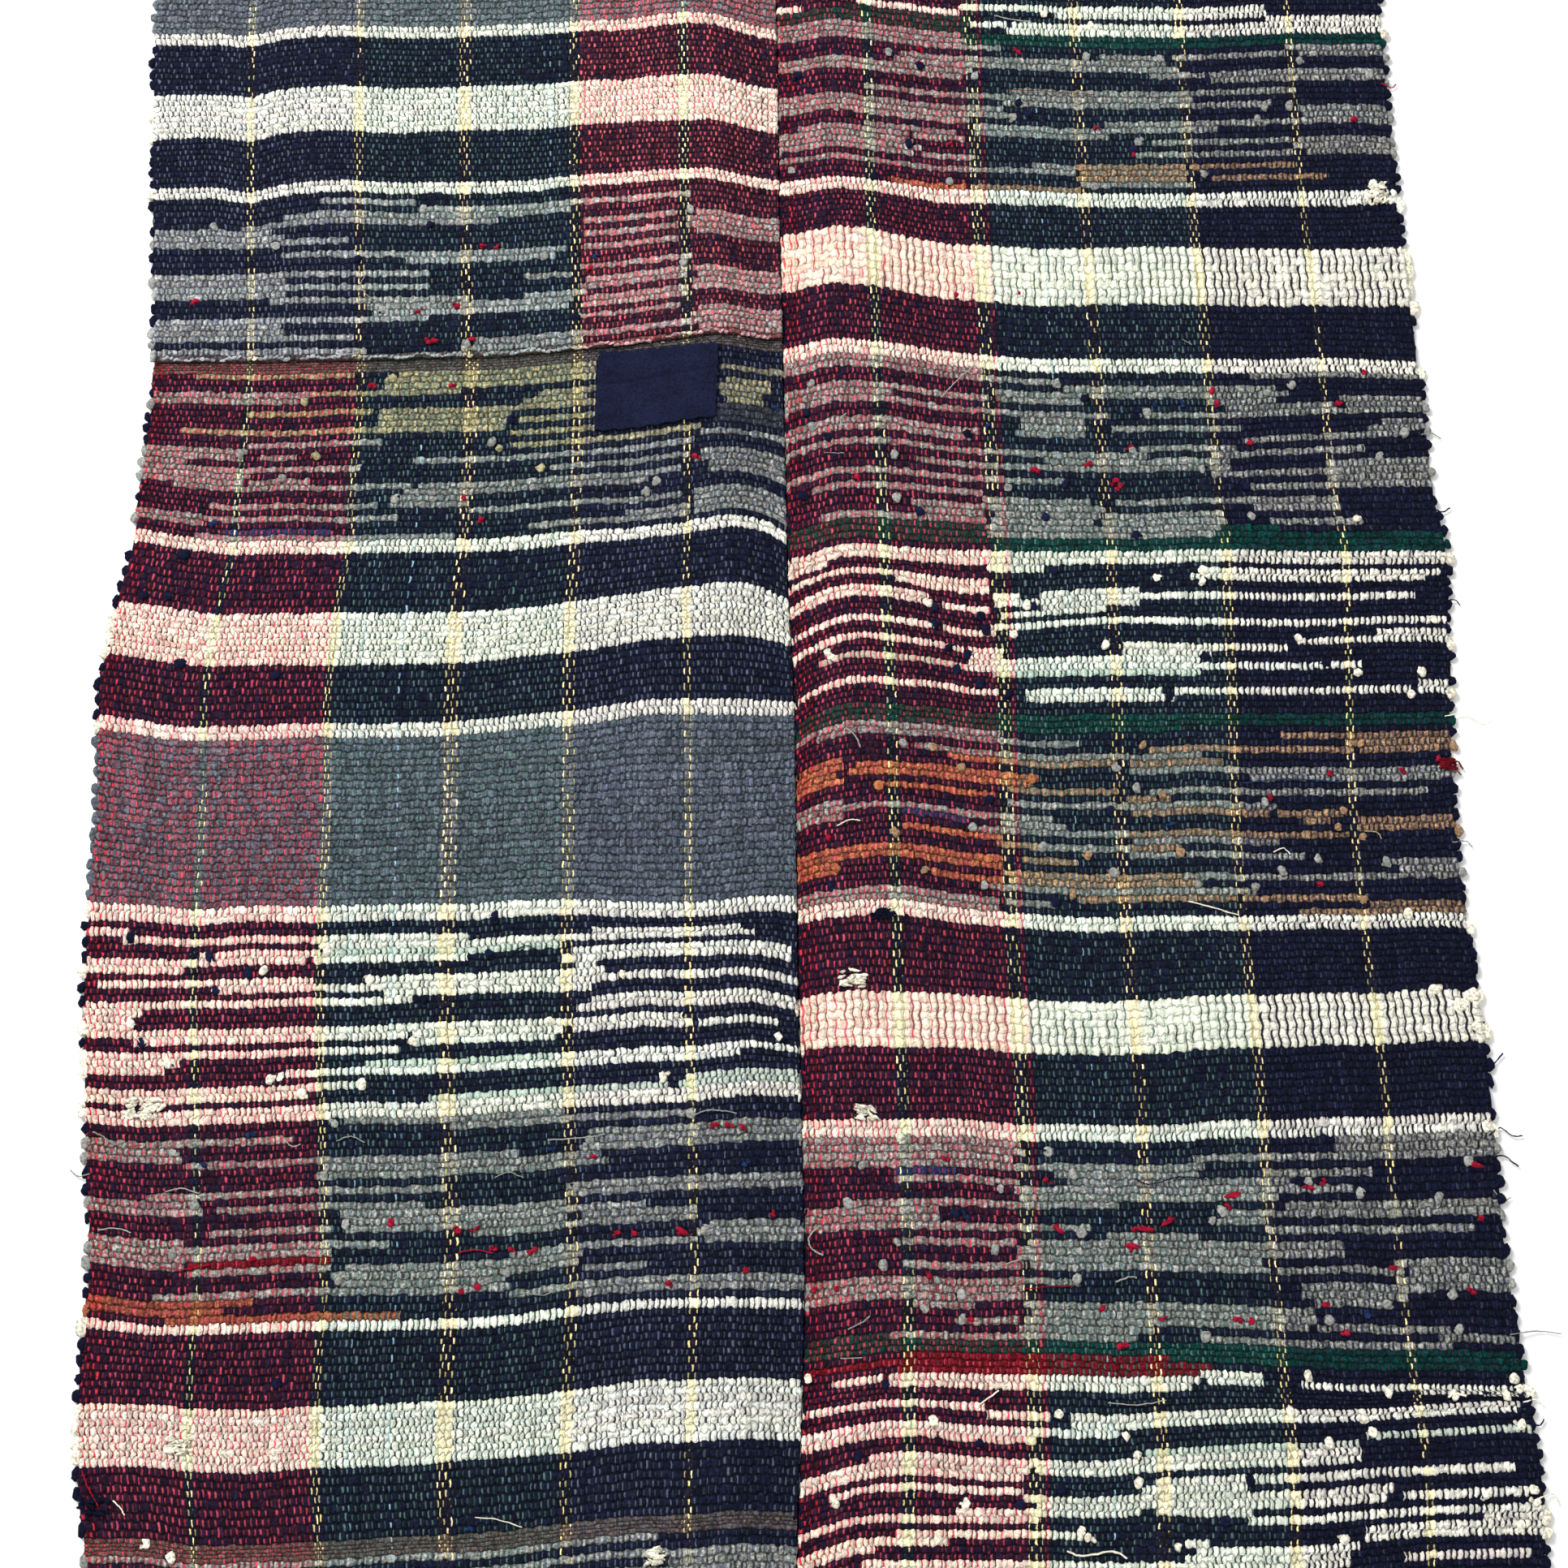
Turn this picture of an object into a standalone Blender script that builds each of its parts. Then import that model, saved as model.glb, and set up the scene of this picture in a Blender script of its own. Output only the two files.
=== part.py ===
"""Rag weave cloth: two loom strips sewn edge to edge, the left one pieced from two lengths, and a patch.

The cloth lies flat, length along Y. Beside the middle seam both strips lift into a low soft ridge and
dip to the seam, and the upper left length laps over the lower one. All sizes are in metres.
"""
import math

import bmesh
import bpy
from mathutils import Vector

LENGTH = 0.960          # cut length of the whole cloth
CLOTH_THICK = 0.0030    # rag weave
PATCH_THICK = 0.0012    # plain cotton
CLEARANCE = 0.0004      # between cloths that lie on each other
SEAM_GAP = 0.0006       # between the two strips at the middle seam

# Outline seen from above: the outer selvedges wander and the middle seam is not quite straight
OUTLINE = (
    # y,       left,    seam,   right
    (-0.480, -0.3095, 0.0030, 0.3338),
    (-0.395, -0.3114, 0.0035, 0.3350),
    (-0.355, -0.3180, 0.0048, 0.3364),
    (-0.312, -0.3204, 0.0066, 0.3315),
    (-0.270, -0.3198, 0.0074, 0.3288),
    (-0.225, -0.3240, 0.0068, 0.3271),
    (-0.180, -0.3283, 0.0058, 0.3269),
    (-0.135, -0.3323, 0.0047, 0.3240),
    (-0.087, -0.3332, 0.0041, 0.3211),
    (-0.039, -0.3338, 0.0036, 0.3204),
    (0.010, -0.3364, 0.0028, 0.3229),
    (0.060, -0.3300, 0.0000, 0.3252),
    (0.087, -0.3250, -0.0005, 0.3262),
    (0.112, -0.3244, -0.0010, 0.3220),
    (0.165, -0.3216, -0.0022, 0.3203),
    (0.220, -0.3242, -0.0033, 0.3180),
    (0.275, -0.3289, -0.0046, 0.3153),
    (0.331, -0.3321, -0.0052, 0.3141),
    (0.390, -0.3349, -0.0061, 0.3133),
    (0.480, -0.3356, -0.0070, 0.3126),
)

# Height of the ridge on each side of the middle seam
RIDGES = (
    # y,     left,   right
    (-0.480, 0.0070, 0.0050),
    (-0.340, 0.0090, 0.0050),
    (-0.200, 0.0085, 0.0060),
    (-0.100, 0.0050, 0.0080),
    (0.000, 0.0045, 0.0080),
    (0.120, 0.0100, 0.0070),
    (0.280, 0.0090, 0.0100),
    (0.480, 0.0080, 0.0090),
)
RIDGE_START = 0.003     # flat margin at the seam, measured across from it
RIDGE_CREST = 0.034
RIDGE_FOOT = 0.086

# Front edge of the upper left length, across the strip from selvedge to seam
LAP_EDGE = (
    # across, y
    (0.00, 0.1840),
    (0.33, 0.1855),
    (0.57, 0.1880),
    (0.72, 0.1925),
    (0.90, 0.1955),
    (1.00, 0.1970),
)
LAP_WIDTH = 0.008       # how far the lower length reaches under the upper one
LAP_RAMP = 0.018        # the upper length comes down to the floor over this
LAP_ZONE = (0.175, 0.226)   # the lap takes its own mesh rows between these

# Corners of the patch, back left first and then clockwise
PATCH_CORNERS = ((-0.0962, 0.1900), (-0.0352, 0.1895), (-0.0361, 0.1496), (-0.0973, 0.1465))
PATCH_STEPS = (8, 5)

ROW_STEP = 0.028        # spacing of the mesh rows along the cloth
OUTER_COLUMNS = 8       # mesh columns from the ridge's foot to the selvedge


def smooth(t):
    """Ease from 0 to 1, flat at both ends."""
    t = min(max(t, 0.0), 1.0)
    return t * t * (3.0 - 2.0 * t)


def read(table, place, column):
    """A smooth curve through one column of a table, read at a place in its first column."""
    rows = list(table)
    index = 0
    while index < len(rows) - 2 and place > rows[index + 1][0]:
        index += 1
    before = rows[max(index - 1, 0)]
    start, end = rows[index], rows[index + 1]
    after = rows[min(index + 2, len(rows) - 1)]
    span = end[0] - start[0]
    t = min(max((place - start[0]) / span, 0.0), 1.0)
    slope_in = (end[column] - before[column]) / (end[0] - before[0]) * span
    slope_out = (after[column] - start[column]) / (after[0] - start[0]) * span
    return ((2 * t ** 3 - 3 * t ** 2 + 1) * start[column] + (t ** 3 - 2 * t ** 2 + t) * slope_in
            + (3 * t ** 2 - 2 * t ** 3) * end[column] + (t ** 3 - t ** 2) * slope_out)


def selvedge(side, y):
    """X of the outer edge of a strip."""
    return read(OUTLINE, y, 1 if side == "left" else 3)


def seam(y):
    """X of the middle seam."""
    return read(OUTLINE, y, 2)


def lap_edge(x, y):
    """Y of the upper length's front edge, for a point on the left strip."""
    across = (x - selvedge("left", y)) / (seam(y) - selvedge("left", y))
    return read(LAP_EDGE, across, 1)


def ridge(x, y):
    """Lift of the cloth beside the middle seam."""
    distance = abs(x - seam(y))
    height = read(RIDGES, y, 1 if x < seam(y) else 2)
    if distance < RIDGE_CREST:
        return height * smooth((distance - RIDGE_START) / (RIDGE_CREST - RIDGE_START))
    return height * smooth((RIDGE_FOOT - distance) / (RIDGE_FOOT - RIDGE_CREST))


def lap_lift(x, y):
    """Lift of the upper length where it lies over the lower one."""
    past = y - lap_edge(x, y) - LAP_WIDTH - 2 * CLEARANCE
    return (CLOTH_THICK + CLEARANCE) * (1.0 - smooth(past / LAP_RAMP))


def over_cloth(x, y, height):
    """The point at a height above the cloth's underside, square to the surface."""
    step = 0.001
    slope_x = (ridge(x + step, y) - ridge(x - step, y)) / (2 * step)
    slope_y = (ridge(x, y + step) - ridge(x, y - step)) / (2 * step)
    normal = Vector((-slope_x, -slope_y, 1.0)).normalized()
    return Vector((x, y, ridge(x, y))) + height * normal


def plain_cloth(name, colour, roughness):
    """A material for one piece."""
    material = bpy.data.materials.new(name)
    material.use_nodes = True
    shader = material.node_tree.nodes["Principled BSDF"]
    shader.inputs["Base Color"].default_value = (*colour, 1.0)
    shader.inputs["Roughness"].default_value = roughness
    shader.inputs["Metallic"].default_value = 0.0
    return material


def sheet(name, grid, thick, material, collection):
    """A sheet of one thickness whose underside passes through a grid of points."""
    mesh = bpy.data.meshes.new(name)
    shell = bmesh.new()
    verts = [[shell.verts.new(point) for point in row] for row in grid]
    for near, far in zip(verts, verts[1:]):
        for a, b, c, d in zip(near, near[1:], far[1:], far):
            shell.faces.new((a, b, c, d))
    bmesh.ops.recalc_face_normals(shell, faces=shell.faces)
    if sum(face.normal.z for face in shell.faces) < 0:
        bmesh.ops.reverse_faces(shell, faces=shell.faces)
    shell.to_mesh(mesh)
    shell.free()
    mesh.shade_smooth()
    mesh.materials.append(material)
    piece = bpy.data.objects.new(name, mesh)
    collection.objects.link(piece)
    solidify = piece.modifiers.new("Thickness", "SOLIDIFY")
    solidify.thickness = thick
    solidify.offset = 1.0
    solidify.use_even_offset = False
    return piece


def columns(side, y):
    """X positions of the mesh columns across one strip, from the seam outwards."""
    sign = -1.0 if side == "left" else 1.0
    start = seam(y) + sign * SEAM_GAP / 2
    rise = [RIDGE_START + i * (RIDGE_CREST - RIDGE_START) / 5 for i in range(6)]
    fall = [RIDGE_CREST + i * (RIDGE_FOOT - RIDGE_CREST) / 6 for i in range(1, 7)]
    ridge_part = [start] + [seam(y) + sign * d for d in rise + fall]
    edge = selvedge(side, y)
    foot = ridge_part[-1]
    return ridge_part + [foot + (edge - foot) * i / OUTER_COLUMNS for i in range(1, OUTER_COLUMNS + 1)]


def rows():
    """Y of the mesh rows, the same on every strip so that the seam's two edges stay side by side."""
    count = round(LENGTH / ROW_STEP)
    return [-LENGTH / 2 + LENGTH * i / count for i in range(count + 1)]


def slanted_row(near_y, past):
    """Mesh places at one distance past the lap's edge, each on its own column."""
    places = []
    for index, x in enumerate(columns("left", near_y)):
        y = lap_edge(x, near_y) + past
        places.append((columns("left", y)[index], y))
    return places


def right_strip():
    """The one-length strip on the right."""
    return [[(x, y, ridge(x, y)) for x in columns("right", y)] for y in rows()]


def lower_length():
    """The lower left length, ending under the lap."""
    front_rows = [y for y in rows() if y < LAP_ZONE[0]]
    last_row = front_rows[-1]
    grid = [[(x, y, ridge(x, y)) for x in columns("left", y)] for y in front_rows]
    end_row = slanted_row(last_row, LAP_WIDTH)
    middle_row = slanted_row(last_row, LAP_WIDTH - (LAP_EDGE[0][1] - last_row) / 2)
    for row in (middle_row, end_row):
        grid.append([(x, y, ridge(x, y)) for x, y in row])
    return grid


def upper_length():
    """The upper left length, lapping over the lower one at its front end."""
    back_rows = [y for y in rows() if y > LAP_ZONE[1]]
    first_even_row = back_rows[0]
    lap_rows = [0.0, LAP_WIDTH / 2, LAP_WIDTH + 2 * CLEARANCE]
    lap_rows += [lap_rows[-1] + LAP_RAMP * i / 4 for i in range(1, 5)]
    grid = []
    for past in lap_rows:
        row = slanted_row(first_even_row, past)
        grid.append([(x, y, ridge(x, y) + lap_lift(x, y)) for x, y in row])
    for y in back_rows:
        grid.append([(x, y, ridge(x, y)) for x in columns("left", y)])
    return grid


def patch():
    """The patch's underside, lying on the lower left length."""
    back_left, back_right, front_right, front_left = (Vector(corner) for corner in PATCH_CORNERS)
    across, down = PATCH_STEPS
    grid = []
    for j in range(down + 1):
        left = back_left.lerp(front_left, j / down)
        right = back_right.lerp(front_right, j / down)
        spots = [left.lerp(right, i / across) for i in range(across + 1)]
        grid.append([over_cloth(spot.x, spot.y, CLOTH_THICK + CLEARANCE) for spot in spots])
    return grid


def build():
    """Make every piece in one collection."""
    for old in list(bpy.data.objects):
        bpy.data.objects.remove(old, do_unlink=True)
    collection = bpy.data.collections.new("rag_weave_cloth")
    bpy.context.scene.collection.children.link(collection)
    rag_left = plain_cloth("Rag weave, left strip", (0.07, 0.08, 0.11), 0.90)
    rag_turned = plain_cloth("Rag weave, turned length", (0.09, 0.10, 0.12), 0.90)
    rag_right = plain_cloth("Rag weave, right strip", (0.10, 0.07, 0.09), 0.90)
    cotton = plain_cloth("Navy cotton", (0.010, 0.012, 0.035), 0.85)
    sheet("left_upper_length", upper_length(), CLOTH_THICK, rag_turned, collection)
    sheet("left_lower_length", lower_length(), CLOTH_THICK, rag_left, collection)
    sheet("right_strip", right_strip(), CLOTH_THICK, rag_right, collection)
    sheet("patch", patch(), PATCH_THICK, cotton, collection)


build()
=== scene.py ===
# %% [markdown]
# # Rag weave cloth
# A cut length of old rag weave: two loom strips, each about 33 cm wide, sewn edge to edge. The wefts are
# torn cotton rags and the warps are fine dyed threads. The left strip is pieced from two lengths, the upper
# one turned end for end, and a small plain navy patch is sewn on it.
#
# The visual follows the folds of the solids: a low ridge on each side of the middle seam, and a lap on the
# left.

# %% Set up
import math
import random
import re
from collections import namedtuple
from types import SimpleNamespace

import bpy
import numpy as np
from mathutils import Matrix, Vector


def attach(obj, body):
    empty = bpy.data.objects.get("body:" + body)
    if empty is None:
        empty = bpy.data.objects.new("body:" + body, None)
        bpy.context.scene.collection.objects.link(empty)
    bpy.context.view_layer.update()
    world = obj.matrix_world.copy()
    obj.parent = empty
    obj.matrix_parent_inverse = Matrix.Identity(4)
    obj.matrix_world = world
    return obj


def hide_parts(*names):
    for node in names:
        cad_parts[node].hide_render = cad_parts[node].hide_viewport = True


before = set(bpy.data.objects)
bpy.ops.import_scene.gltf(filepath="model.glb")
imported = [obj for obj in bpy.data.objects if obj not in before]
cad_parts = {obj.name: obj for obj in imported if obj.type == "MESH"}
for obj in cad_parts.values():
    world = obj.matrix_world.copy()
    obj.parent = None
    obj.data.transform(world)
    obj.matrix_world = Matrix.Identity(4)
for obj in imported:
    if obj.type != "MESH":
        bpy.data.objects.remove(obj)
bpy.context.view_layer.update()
mm = 0.001
dice = random.Random(7)
chance = np.random.default_rng(7)

# %% [markdown]
# ## The cloth's own coordinates
# A place on a strip is named by how far across it is (0 at its left edge, 1 at its right edge) and by how
# far along. Wefts bow, so the place along is the height at which that weft crosses the middle of its strip.
# Tables hold the outline, the ridges beside the seam and the bow of the wefts, read with one smooth curve.

# %% Sizes
WARPS = 240                 # warp ends in each strip
CLOTH = 3.0 * mm            # thickness
GAP = 0.6 * mm              # between the strips at the middle seam
STRIP = 325                 # usual width of a strip, in mm
HALF = 0.480                # half of the cloth's length
LAP_Y = 0.188               # front edge of the upper length, at the middle of its strip
LAP_WIDTH, LAP_RAMP = 8 * mm, 18 * mm
CLEARANCE = 0.4 * mm        # between cloths that lie on each other
RIDGE_START, RIDGE_CREST, RIDGE_FOOT = 3 * mm, 34 * mm, 86 * mm
BOW_FADE = 80 * mm          # the bows run out towards the cut ends over this

# %% Outline, ridges and lap
# Along, then the left edge, the seam and the right edge
OUTLINE = np.array([
    (-480, -309.5, 3.0, 333.8), (-395, -311.4, 3.5, 335.0), (-355, -318.0, 4.8, 336.4),
    (-312, -320.4, 6.6, 331.5), (-270, -319.8, 7.4, 328.8), (-225, -324.0, 6.8, 327.1),
    (-180, -328.3, 5.8, 326.9), (-135, -332.3, 4.7, 324.0), (-87, -333.2, 4.1, 321.1),
    (-39, -333.8, 3.6, 320.4), (10, -336.4, 2.8, 322.9), (60, -330.0, 0.0, 325.2),
    (87, -325.0, -0.5, 326.2), (112, -324.4, -1.0, 322.0), (165, -321.6, -2.2, 320.3),
    (220, -324.2, -3.3, 318.0), (275, -328.9, -4.6, 315.3), (331, -332.1, -5.2, 314.1),
    (390, -334.9, -6.1, 313.3), (480, -335.6, -7.0, 312.6),
]) * mm
# Along, then the height to the left and to the right of the seam
RIDGES = np.array([
    (-480, 7.0, 5.0), (-340, 9.0, 5.0), (-200, 8.5, 6.0), (-100, 5.0, 8.0), (0, 4.5, 8.0),
    (120, 10.0, 7.0), (280, 9.0, 10.0), (480, 8.0, 9.0),
]) * mm
# Across and along
LAP_EDGE = np.array([
    (0, 184.0), (0.33, 185.5), (0.57, 188.0), (0.72, 192.5), (0.90, 195.5), (1, 197.0),
]) * (1, mm)

# %% Bows
# Places across, and then for each place along how far the weft lies above it there, in mm
BOW = {
    "left": ([0, .05, .10, .155, .205, .27, .42, .57, .7, .78, .84, .89, .93, .97, 1.0], [
        (-323.6, -2.8, -2.6, -3.4, -5.6, -5.2, -4.8, -2.6, -0.3, 4.4, 7.2, 7.4, 8.8, 9.3, 8.6, 8.1),
        (-287.6, -1.2, -2.6, -4.0, -4.3, -3.7, -3.0, -2.2, -0.2, 4.4, 7.2, 7.4, 7.6, 7.6, 7.5, 7.5),
        (-194.8, -4.0, -5.4, -6.0, -5.8, -5.0, -4.2, -2.7, -0.2, 2.5, 4.0, 4.2, 5.5, 6.9, 7.2, 7.1),
        (-140.0, -3.8, -4.6, -4.5, -4.0, -3.6, -3.1, -2.2, -0.2, 1.2, 3.9, 3.7, 4.1, 4.9, 2.8, -0.1),
        (-120.0, -2.2, -3.8, -4.2, -3.7, -3.3, -2.8, -2.0, -0.2, 1.8, 4.0, 4.1, 4.4, 4.8, 4.0, 1.1),
        (-96.6, 0.0, -1.2, -2.6, -3.2, -2.8, -2.3, -1.8, -0.2, 0.2, -0.6, -1.2, -0.6, 1.5, 3.0, 3.1),
        (-4.7, 2.5, -0.3, -3.2, -3.6, -3.4, -3.2, -2.0, -0.1, 5.1, 9.0, 9.2, 9.0, 9.1, 9.0, 8.8),
        (50.3, 4.2, 2.0, -0.5, -2.7, -2.6, -2.5, -2.3, -0.1, 4.4, 8.3, 9.6, 10.6, 11.6, 9.6, 4.8),
        (89.0, 5.0, 2.4, -0.1, -1.8, -1.8, -1.6, -1.0, 0.2, 4.0, 5.9, 6.8, 8.0, 9.4, 8.6, 3.4),
        (130.0, 0.0, -1.5, -2.4, -2.6, -2.4, -2.1, -1.3, 0.1, 4.0, 5.7, 6.7, 7.7, 8.6, 8.5, 6.2),
        (188.0, -4.0, -3.8, -3.6, -3.3, -3.1, -2.6, -1.6, 0.0, 3.9, 5.4, 6.6, 7.4, 7.8, 8.4, 9.0),
        (240.0, -4.0, -3.6, -3.2, -3.2, -2.2, -1.5, -1.2, 0.1, 3.8, 5.2, 5.3, 5.2, 4.7, 4.7, 4.8),
        (283.0, -4.4, -4.0, -3.4, -5.4, -1.6, 0.5, -0.6, 0.2, 3.8, 5.0, 4.2, 3.3, 2.0, 1.5, 1.2),
        (321.4, -5.2, -5.0, -4.7, -5.9, -1.8, 0.0, -1.1, 0.3, 3.7, 4.7, 3.2, 1.7, -0.3, -1.3, -1.9)]),
    "right": ([0, .03, .07, .11, .16, .22, .29, .42, .50, .63, .78, .95], [
        (-376.0, -7.5, -4.2, -0.3, 1.4, 1.7, 1.5, 0.6, -0.2, 0.6, 0.0, 2.6, 5.8),
        (-352.0, -6.5, -4.2, -0.6, 1.6, 2.5, 0.9, -0.8, -1.4, 0.1, 2.3, 4.8, 7.8),
        (-331.0, -2.5, -0.7, 1.7, 2.9, 2.7, 1.7, 0.6, -0.7, 0.6, 1.5, 2.1, 5.8),
        (-313.6, -3.5, -2.2, -0.3, 0.9, 1.2, 1.2, 0.6, -0.2, 0.6, -1.5, -3.9, -4.2),
        (-200.5, 1.6, 2.2, 2.2, 1.7, 1.7, 1.6, 0.8, -0.6, -0.4, 1.5, 2.5, 4.9),
        (-143.0, 1.9, 3.0, 3.6, 3.3, 3.2, 3.2, 1.9, -0.3, 0.2, 2.6, 4.0, 5.4),
        (-102.5, 3.1, 5.4, 5.8, 5.9, 6.0, 5.0, 2.9, -0.2, -0.3, 0.2, 0.4, 1.6),
        (8.0, -7.5, -1.0, 3.3, 4.3, 3.7, 3.6, 0.1, 0.0, 0.1, 0.7, 0.4, 0.9),
        (44.0, -6.2, -1.6, 2.8, 3.9, 3.2, 1.3, -2.3, 0.0, 1.2, 0.8, 0.0, 1.6),
        (62.0, -6.5, -1.4, 2.3, 2.9, 2.3, -0.1, -3.0, -1.0, 0.2, 1.5, 0.9, 1.5),
        (80.9, -3.5, -2.1, 0.8, 1.5, 1.3, 1.0, 0.8, 0.0, 0.3, 1.0, 0.4, 0.4),
        (140.0, 0.0, 3.0, 5.4, 5.5, 6.2, 5.0, 2.5, 0.2, -0.1, 0.2, 1.9, 4.5),
        (185.6, 6.0, 7.6, 8.6, 7.2, 6.4, 5.4, 3.0, 0.4, -0.4, -0.4, 0.4, -0.4),
        (247.9, 7.4, 8.3, 8.8, 8.0, 7.0, 5.0, 2.2, 0.1, -0.4, 0.6, 0.0, 0.9),
        (282.2, 5.2, 5.2, 4.2, 2.6, 2.0, 2.2, 1.3, 0.1, -1.2, -1.6, -0.1, 1.4)]),
}

# %% Reading the tables
def curve(places, values, at):
    """A smooth curve through values (one row for each place), read at some places."""
    places, values = np.asarray(places, float), np.asarray(values, float)
    at = np.clip(np.asarray(at, float), places[0], places[-1])
    i = np.clip(np.searchsorted(places, at, side="right") - 1, 0, len(places) - 2)
    before, after = np.maximum(i - 1, 0), np.minimum(i + 2, len(places) - 1)
    span = places[i + 1] - places[i]
    t = (at - places[i]) / span
    slope_in, slope_out = span / (places[i + 1] - places[before]), span / (places[after] - places[i])
    if values.ndim > 1:
        t, slope_in, slope_out = t[..., None], slope_in[..., None], slope_out[..., None]
    slope_in = slope_in * (values[i + 1] - values[before])
    slope_out = slope_out * (values[after] - values[i])
    return ((2 * t**3 - 3 * t**2 + 1) * values[i] + (t**3 - 2 * t**2 + t) * slope_in
            + (3 * t**2 - 2 * t**3) * values[i + 1] + (t**3 - t**2) * slope_out)


def ease(t):
    """From 0 to 1, flat at both ends."""
    t = np.clip(t, 0.0, 1.0)
    return t * t * (3.0 - 2.0 * t)


def bow(strip, across, along):
    """How far a weft lies above its place at the middle of the strip."""
    columns, table = BOW[strip]
    table = np.array(table) * mm
    lines = curve(table[:, 0], table[:, 1:], np.asarray(along, float))
    lifted = np.array([curve(columns, line, across) for line in lines])
    return lifted * ease((HALF - np.abs(along)) / BOW_FADE)[:, None]


SWAY = {name: chance.normal(0, 1, (24, 14)) for name in ("left", "right", "lumps")}


def sway(name, across, along):
    """A slow unevenness of the rows, under a millimetre."""
    table = SWAY[name]
    lines = curve(np.linspace(-HALF, HALF, len(table)), table, along)
    return 0.45 * mm * np.array([curve(np.linspace(0, 1, table.shape[1]), line, across) for line in lines])

# %% Heights and places
def ridge(x, y):
    """Lift of the cloth beside the middle seam."""
    from_seam = x - curve(OUTLINE[:, 0], OUTLINE[:, 2], y)
    left, right = (curve(RIDGES[:, 0], RIDGES[:, k], y) for k in (1, 2))
    height = np.where(from_seam < 0, left, right)
    far = np.abs(from_seam)
    rise = ease((far - RIDGE_START) / (RIDGE_CREST - RIDGE_START))
    fall = ease((RIDGE_FOOT - far) / (RIDGE_FOOT - RIDGE_CREST))
    return height * np.where(far < RIDGE_CREST, rise, fall)


def lap_lift(across, y):
    """Lift of the upper left length where it lies over the lower one."""
    past = y - curve(LAP_EDGE[:, 0], LAP_EDGE[:, 1], across) - LAP_WIDTH - 2 * CLEARANCE
    return (CLOTH + CLEARANCE) * (1.0 - ease(past / LAP_RAMP))


def lay(strip, across, along):
    """X and Y of a grid of places: a row for each place along and a column for each place across."""
    y = np.asarray(along)[:, None] + bow(strip, across, along)
    left, seam, right = (curve(OUTLINE[:, 0], OUTLINE[:, k], y) for k in (1, 2, 3))
    near, far = (left, seam - GAP / 2) if strip == "left" else (seam + GAP / 2, right)
    return near + (far - near) * np.asarray(across)[None, :], y


print("ridge crests", RIDGES[:, 1:].max(axis=0) / mm, "mm")

# %% [markdown]
# ## Rags
# The weft is torn cotton, knotted end to end. Each kind has its colour, how far it puffs up between the
# warps, how far the two warps of a pair lean together under it, and the chance that it buries a warp.

# %% Rag colours
def linear(red, green, blue):
    """A colour written as 0 to 255 for a screen, as light."""
    return tuple(c / 12.92 if c <= 0.04045 else ((c + 0.055) / 1.055) ** 2.4 for c in
                 (red / 255, green / 255, blue / 255))


Rag = namedtuple("Rag", "colour puff lean buried")
RAGS = {
    "W": Rag(linear(255, 248, 226), 0.80, 0.34, 0.16),    # white
    "Y": Rag(linear(252, 246, 220), 0.88, 0.36, 0.22),    # thick white
    "V": Rag(linear(206, 216, 192), 0.60, 0.30, 0.08),    # pale green
    "N": Rag(linear(14, 17, 40), 0.42, 0.14, 0.13),       # navy
    "G": Rag(linear(150, 151, 146), 0.48, 0.22, 0.10),    # grey
    "E": Rag(linear(160, 160, 157), 0.48, 0.22, 0.08),    # light grey
    "C": Rag(linear(90, 98, 108), 0.48, 0.20, 0.12),      # charcoal
    "K": Rag(linear(160, 152, 116), 0.48, 0.20, 0.06),    # khaki
    "A": Rag(linear(108, 114, 120), 0.48, 0.20, 0.12),    # faded charcoal
    "T": Rag(linear(162, 130, 100), 0.48, 0.20, 0.06),    # tan
    "O": Rag(linear(180, 110, 72), 0.50, 0.20, 0.08),     # rust
    "B": Rag(linear(158, 92, 62), 0.48, 0.20, 0.06),      # brown orange
    "D": Rag(linear(2, 54, 50), 0.42, 0.14, 0.10),        # bottle green
    "R": Rag(linear(108, 12, 26), 0.42, 0.14, 0.10),      # dark red
    "S": Rag(linear(50, 52, 60), 0.42, 0.16, 0.10),       # dark grey
    "U": Rag(linear(28, 50, 92), 0.42, 0.16, 0.08),       # blue
    "H": Rag(linear(92, 78, 72), 0.25, 0.10, 0.00),       # fine heading thread
    "X": Rag(linear(158, 20, 48), 0.45, 0.10, 0.00),      # red, in knots only
}
LETTERS = "".join(RAGS)
THICK_PUFF = 0.84           # rags that puff up more than this pass over two warp ends at a time
print(len(RAGS), "kinds of rag")

# %% [markdown]
# ## Weft charts
# Each band is given by its last place along the strip and its rows. Plain stripes are a row of letters. In
# the mixed bands the maker wove rags of uneven length to and fro, so the colours lie in blocks that wander
# from side to side; these are listed as blocks on a ground of one rag, and the hidden ends of the
# strips follow the same rule as a ball of rags unwound to and fro.

# %% Ways to chart a band
def plain(kinds):
    """One row for each letter."""
    return [[(1.0, kind)] for kind in kinds]


def ball(kinds, length, start, picks):
    """Rows of a ball of rags woven to and fro. Lengths are in strip widths."""
    joins, at = [], -start
    while at < picks + 1:
        at += length * dice.uniform(0.9, 1.1)
        joins.append((at, kinds[len(joins) % len(kinds)]))
    rows, kind = [], kinds[-1]
    for pick in range(picks):
        row = []
        for place, after in joins:
            if pick < place < pick + 1:
                row.append((place - pick, kind))
                kind = after
        row.append((1.0, kind))
        if pick % 2:
            starts = [0.0] + [place for place, _ in row[:-1]]
            row = [(1 - begun, rag) for begun, (_, rag) in reversed(list(zip(starts, row)))]
        rows.append(row)
    return rows


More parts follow.
